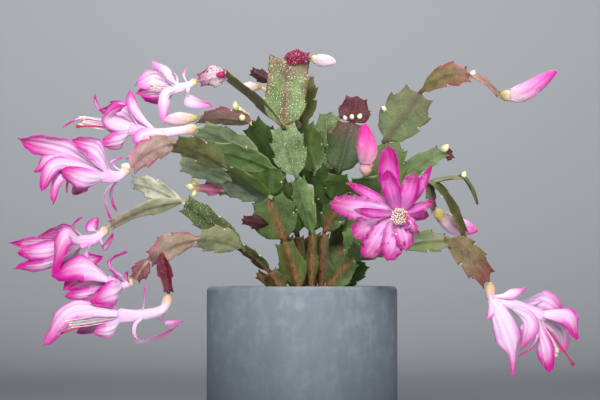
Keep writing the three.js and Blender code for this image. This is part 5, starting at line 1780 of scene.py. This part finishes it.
class OBJECT_OT_cactus_buds(bpy.types.Operator):
    """Build the closed buds, in the petals' own material"""

    bl_idname = "object.cactus_buds"
    bl_label = "Buds"

    def execute(self, context):
        skin = bpy.data.materials["petal_satin"]
        for name in BUDS:
            piece = add_piece(name + "_fine", closed_bud(name), [skin])
            dress(piece, name)
        return {"FINISHED"}


def add_camera(scene, settings):
    """Camera in front of the pot, about level with its rim and looking a little up."""
    camera = bpy.data.objects.new("photo_camera", bpy.data.cameras.new("photo_camera"))
    camera.data.sensor_width = 36.0
    camera.data.lens = settings.lens
    camera.data.clip_start = 0.05
    camera.data.clip_end = 20.0
    camera.location = (CAMERA_ASIDE, -settings.distance, settings.camera_height)
    camera.rotation_euler = (math.pi / 2 + settings.pitch, 0.0, 0.0)
    scene.collection.objects.link(camera)
    scene.camera = camera


def add_floor(scene, settings):
    """Round floor that sweeps up all about into a wall: flat, then a quarter circle, then up."""
    bend = np.linspace(0, math.pi / 2, 25)
    profile = np.concatenate((
        np.array(((0.02, 0.0), (0.4, 0.0), (0.8, 0.0))),
        np.stack((FLOOR_FLAT + FLOOR_BEND * np.sin(bend), FLOOR_BEND - FLOOR_BEND * np.cos(bend)), -1),
        np.array(((FLOOR_FLAT + FLOOR_BEND, FLOOR_TOP),)),
    ))
    turn = full_turn(96)
    radius, height = profile[:, :1], profile[:, 1:]
    points = together(radius * np.cos(turn), radius * np.sin(turn), height)
    count = len(turn)
    column = np.arange(count)
    rows = (np.arange(len(profile) - 1) * count)[:, None]
    following = rows + (column + 1) % count
    faces = np.stack((rows + column, rows + count + column, following + count, following), -1)
    faces = [column[::-1].tolist()] + faces.reshape(-1, 4).tolist()
    mesh = bpy.data.meshes.new("studio_floor")
    mesh.from_pydata(points.reshape(-1, 3).tolist(), [], faces)
    mesh.polygons.foreach_set("use_smooth", np.ones(len(faces), dtype=bool))
    mesh.materials.append(floor_material(settings))
    floor = bpy.data.objects.new("studio_floor", mesh)
    scene.collection.objects.link(floor)


def matrix_euler(turn):
    """Euler angles of a turning matrix, taken from its last row and first column."""
    tilt = -math.asin(np.clip(turn[2, 0], -1, 1))
    return math.atan2(turn[2, 1], turn[2, 2]), tilt, math.atan2(turn[1, 0], turn[0, 0])


def add_light(scene, name, place, target, size, spread, power):
    """Square soft light at a place, turned to a target, with its beam's spread in degrees."""
    light = bpy.data.lights.new(name, "AREA")
    light.size = size
    light.spread = math.radians(spread)
    light.energy = power
    lamp = bpy.data.objects.new(name, light)
    lamp.visible_camera = False
    lamp.location = place
    away = unit(np.asarray(place) - np.asarray(target))
    side, up = across_frame(away[None], (0.0, 0.0, 1.0))
    lamp.rotation_euler = matrix_euler(np.stack((side[0], up[0], away), -1))
    scene.collection.objects.link(lamp)


class OBJECT_OT_cactus_stage(bpy.types.Operator):
    """Set up the camera, the floor and the lights"""

    bl_idname = "object.cactus_stage"
    bl_label = "Stage"

    def execute(self, context):
        scene = context.scene
        settings = scene.cactus_stage
        add_camera(scene, settings)
        add_floor(scene, settings)
        for name, (place, target, size, spread, power) in LIGHTS.items():
            add_light(scene, name, place, target, size, spread, getattr(settings, power))
        scene.view_settings.view_transform = "Standard"
        world = bpy.data.worlds.new("soft_room")
        world.use_nodes = True
        room = world.node_tree.nodes["Background"]
        room.inputs[0].default_value = ROOM_COLOUR
        room.inputs[1].default_value = ROOM_STRENGTH
        scene.world = world
        return {"FINISHED"}


class VIEW3D_PT_cactus(bpy.types.Panel):
    """Lists the cactus's settings and operators"""

    bl_idname = "VIEW3D_PT_cactus"
    bl_label = "Potted christmas cactus"
    bl_space_type = "VIEW_3D"
    bl_region_type = "UI"
    bl_category = "Cactus"

    def draw(self, context):
        for settings in (context.scene.cactus_pot, context.scene.cactus_plant, context.scene.cactus_stage):
            box = self.layout.box()
            for key in settings.__annotations__:
                box.prop(settings, key)
        for operator in OPERATORS:
            self.layout.operator(operator.bl_idname)


OPERATORS = (
    OBJECT_OT_cactus_pot,
    OBJECT_OT_cactus_soil,
    OBJECT_OT_cactus_stems,
    OBJECT_OT_cactus_blooms,
    OBJECT_OT_cactus_buds,
    OBJECT_OT_cactus_stage,
)
SETTINGS = {
    "cactus_pot": CactusPotSettings,
    "cactus_plant": CactusPlantSettings,
    "cactus_stage": CactusStageSettings,
}


def register():
    for group in (*SETTINGS.values(), *OPERATORS, VIEW3D_PT_cactus):
        bpy.utils.register_class(group)
    for name, group in SETTINGS.items():
        setattr(bpy.types.Scene, name, bpy.props.PointerProperty(type=group))


def unregister():
    for name in SETTINGS:
        delattr(bpy.types.Scene, name)
    for group in (VIEW3D_PT_cactus, *reversed(OPERATORS), *reversed(SETTINGS.values())):
        bpy.utils.unregister_class(group)


def main():
    """Build every piece in order."""
    register()
    bpy.ops.object.cactus_pot()
    bpy.ops.object.cactus_soil()
    bpy.ops.object.cactus_stems()
    bpy.ops.object.cactus_blooms()
    bpy.ops.object.cactus_buds()
    bpy.ops.object.cactus_stage()
    bpy.context.view_layer.update()


if __name__ == "__main__":
    main()
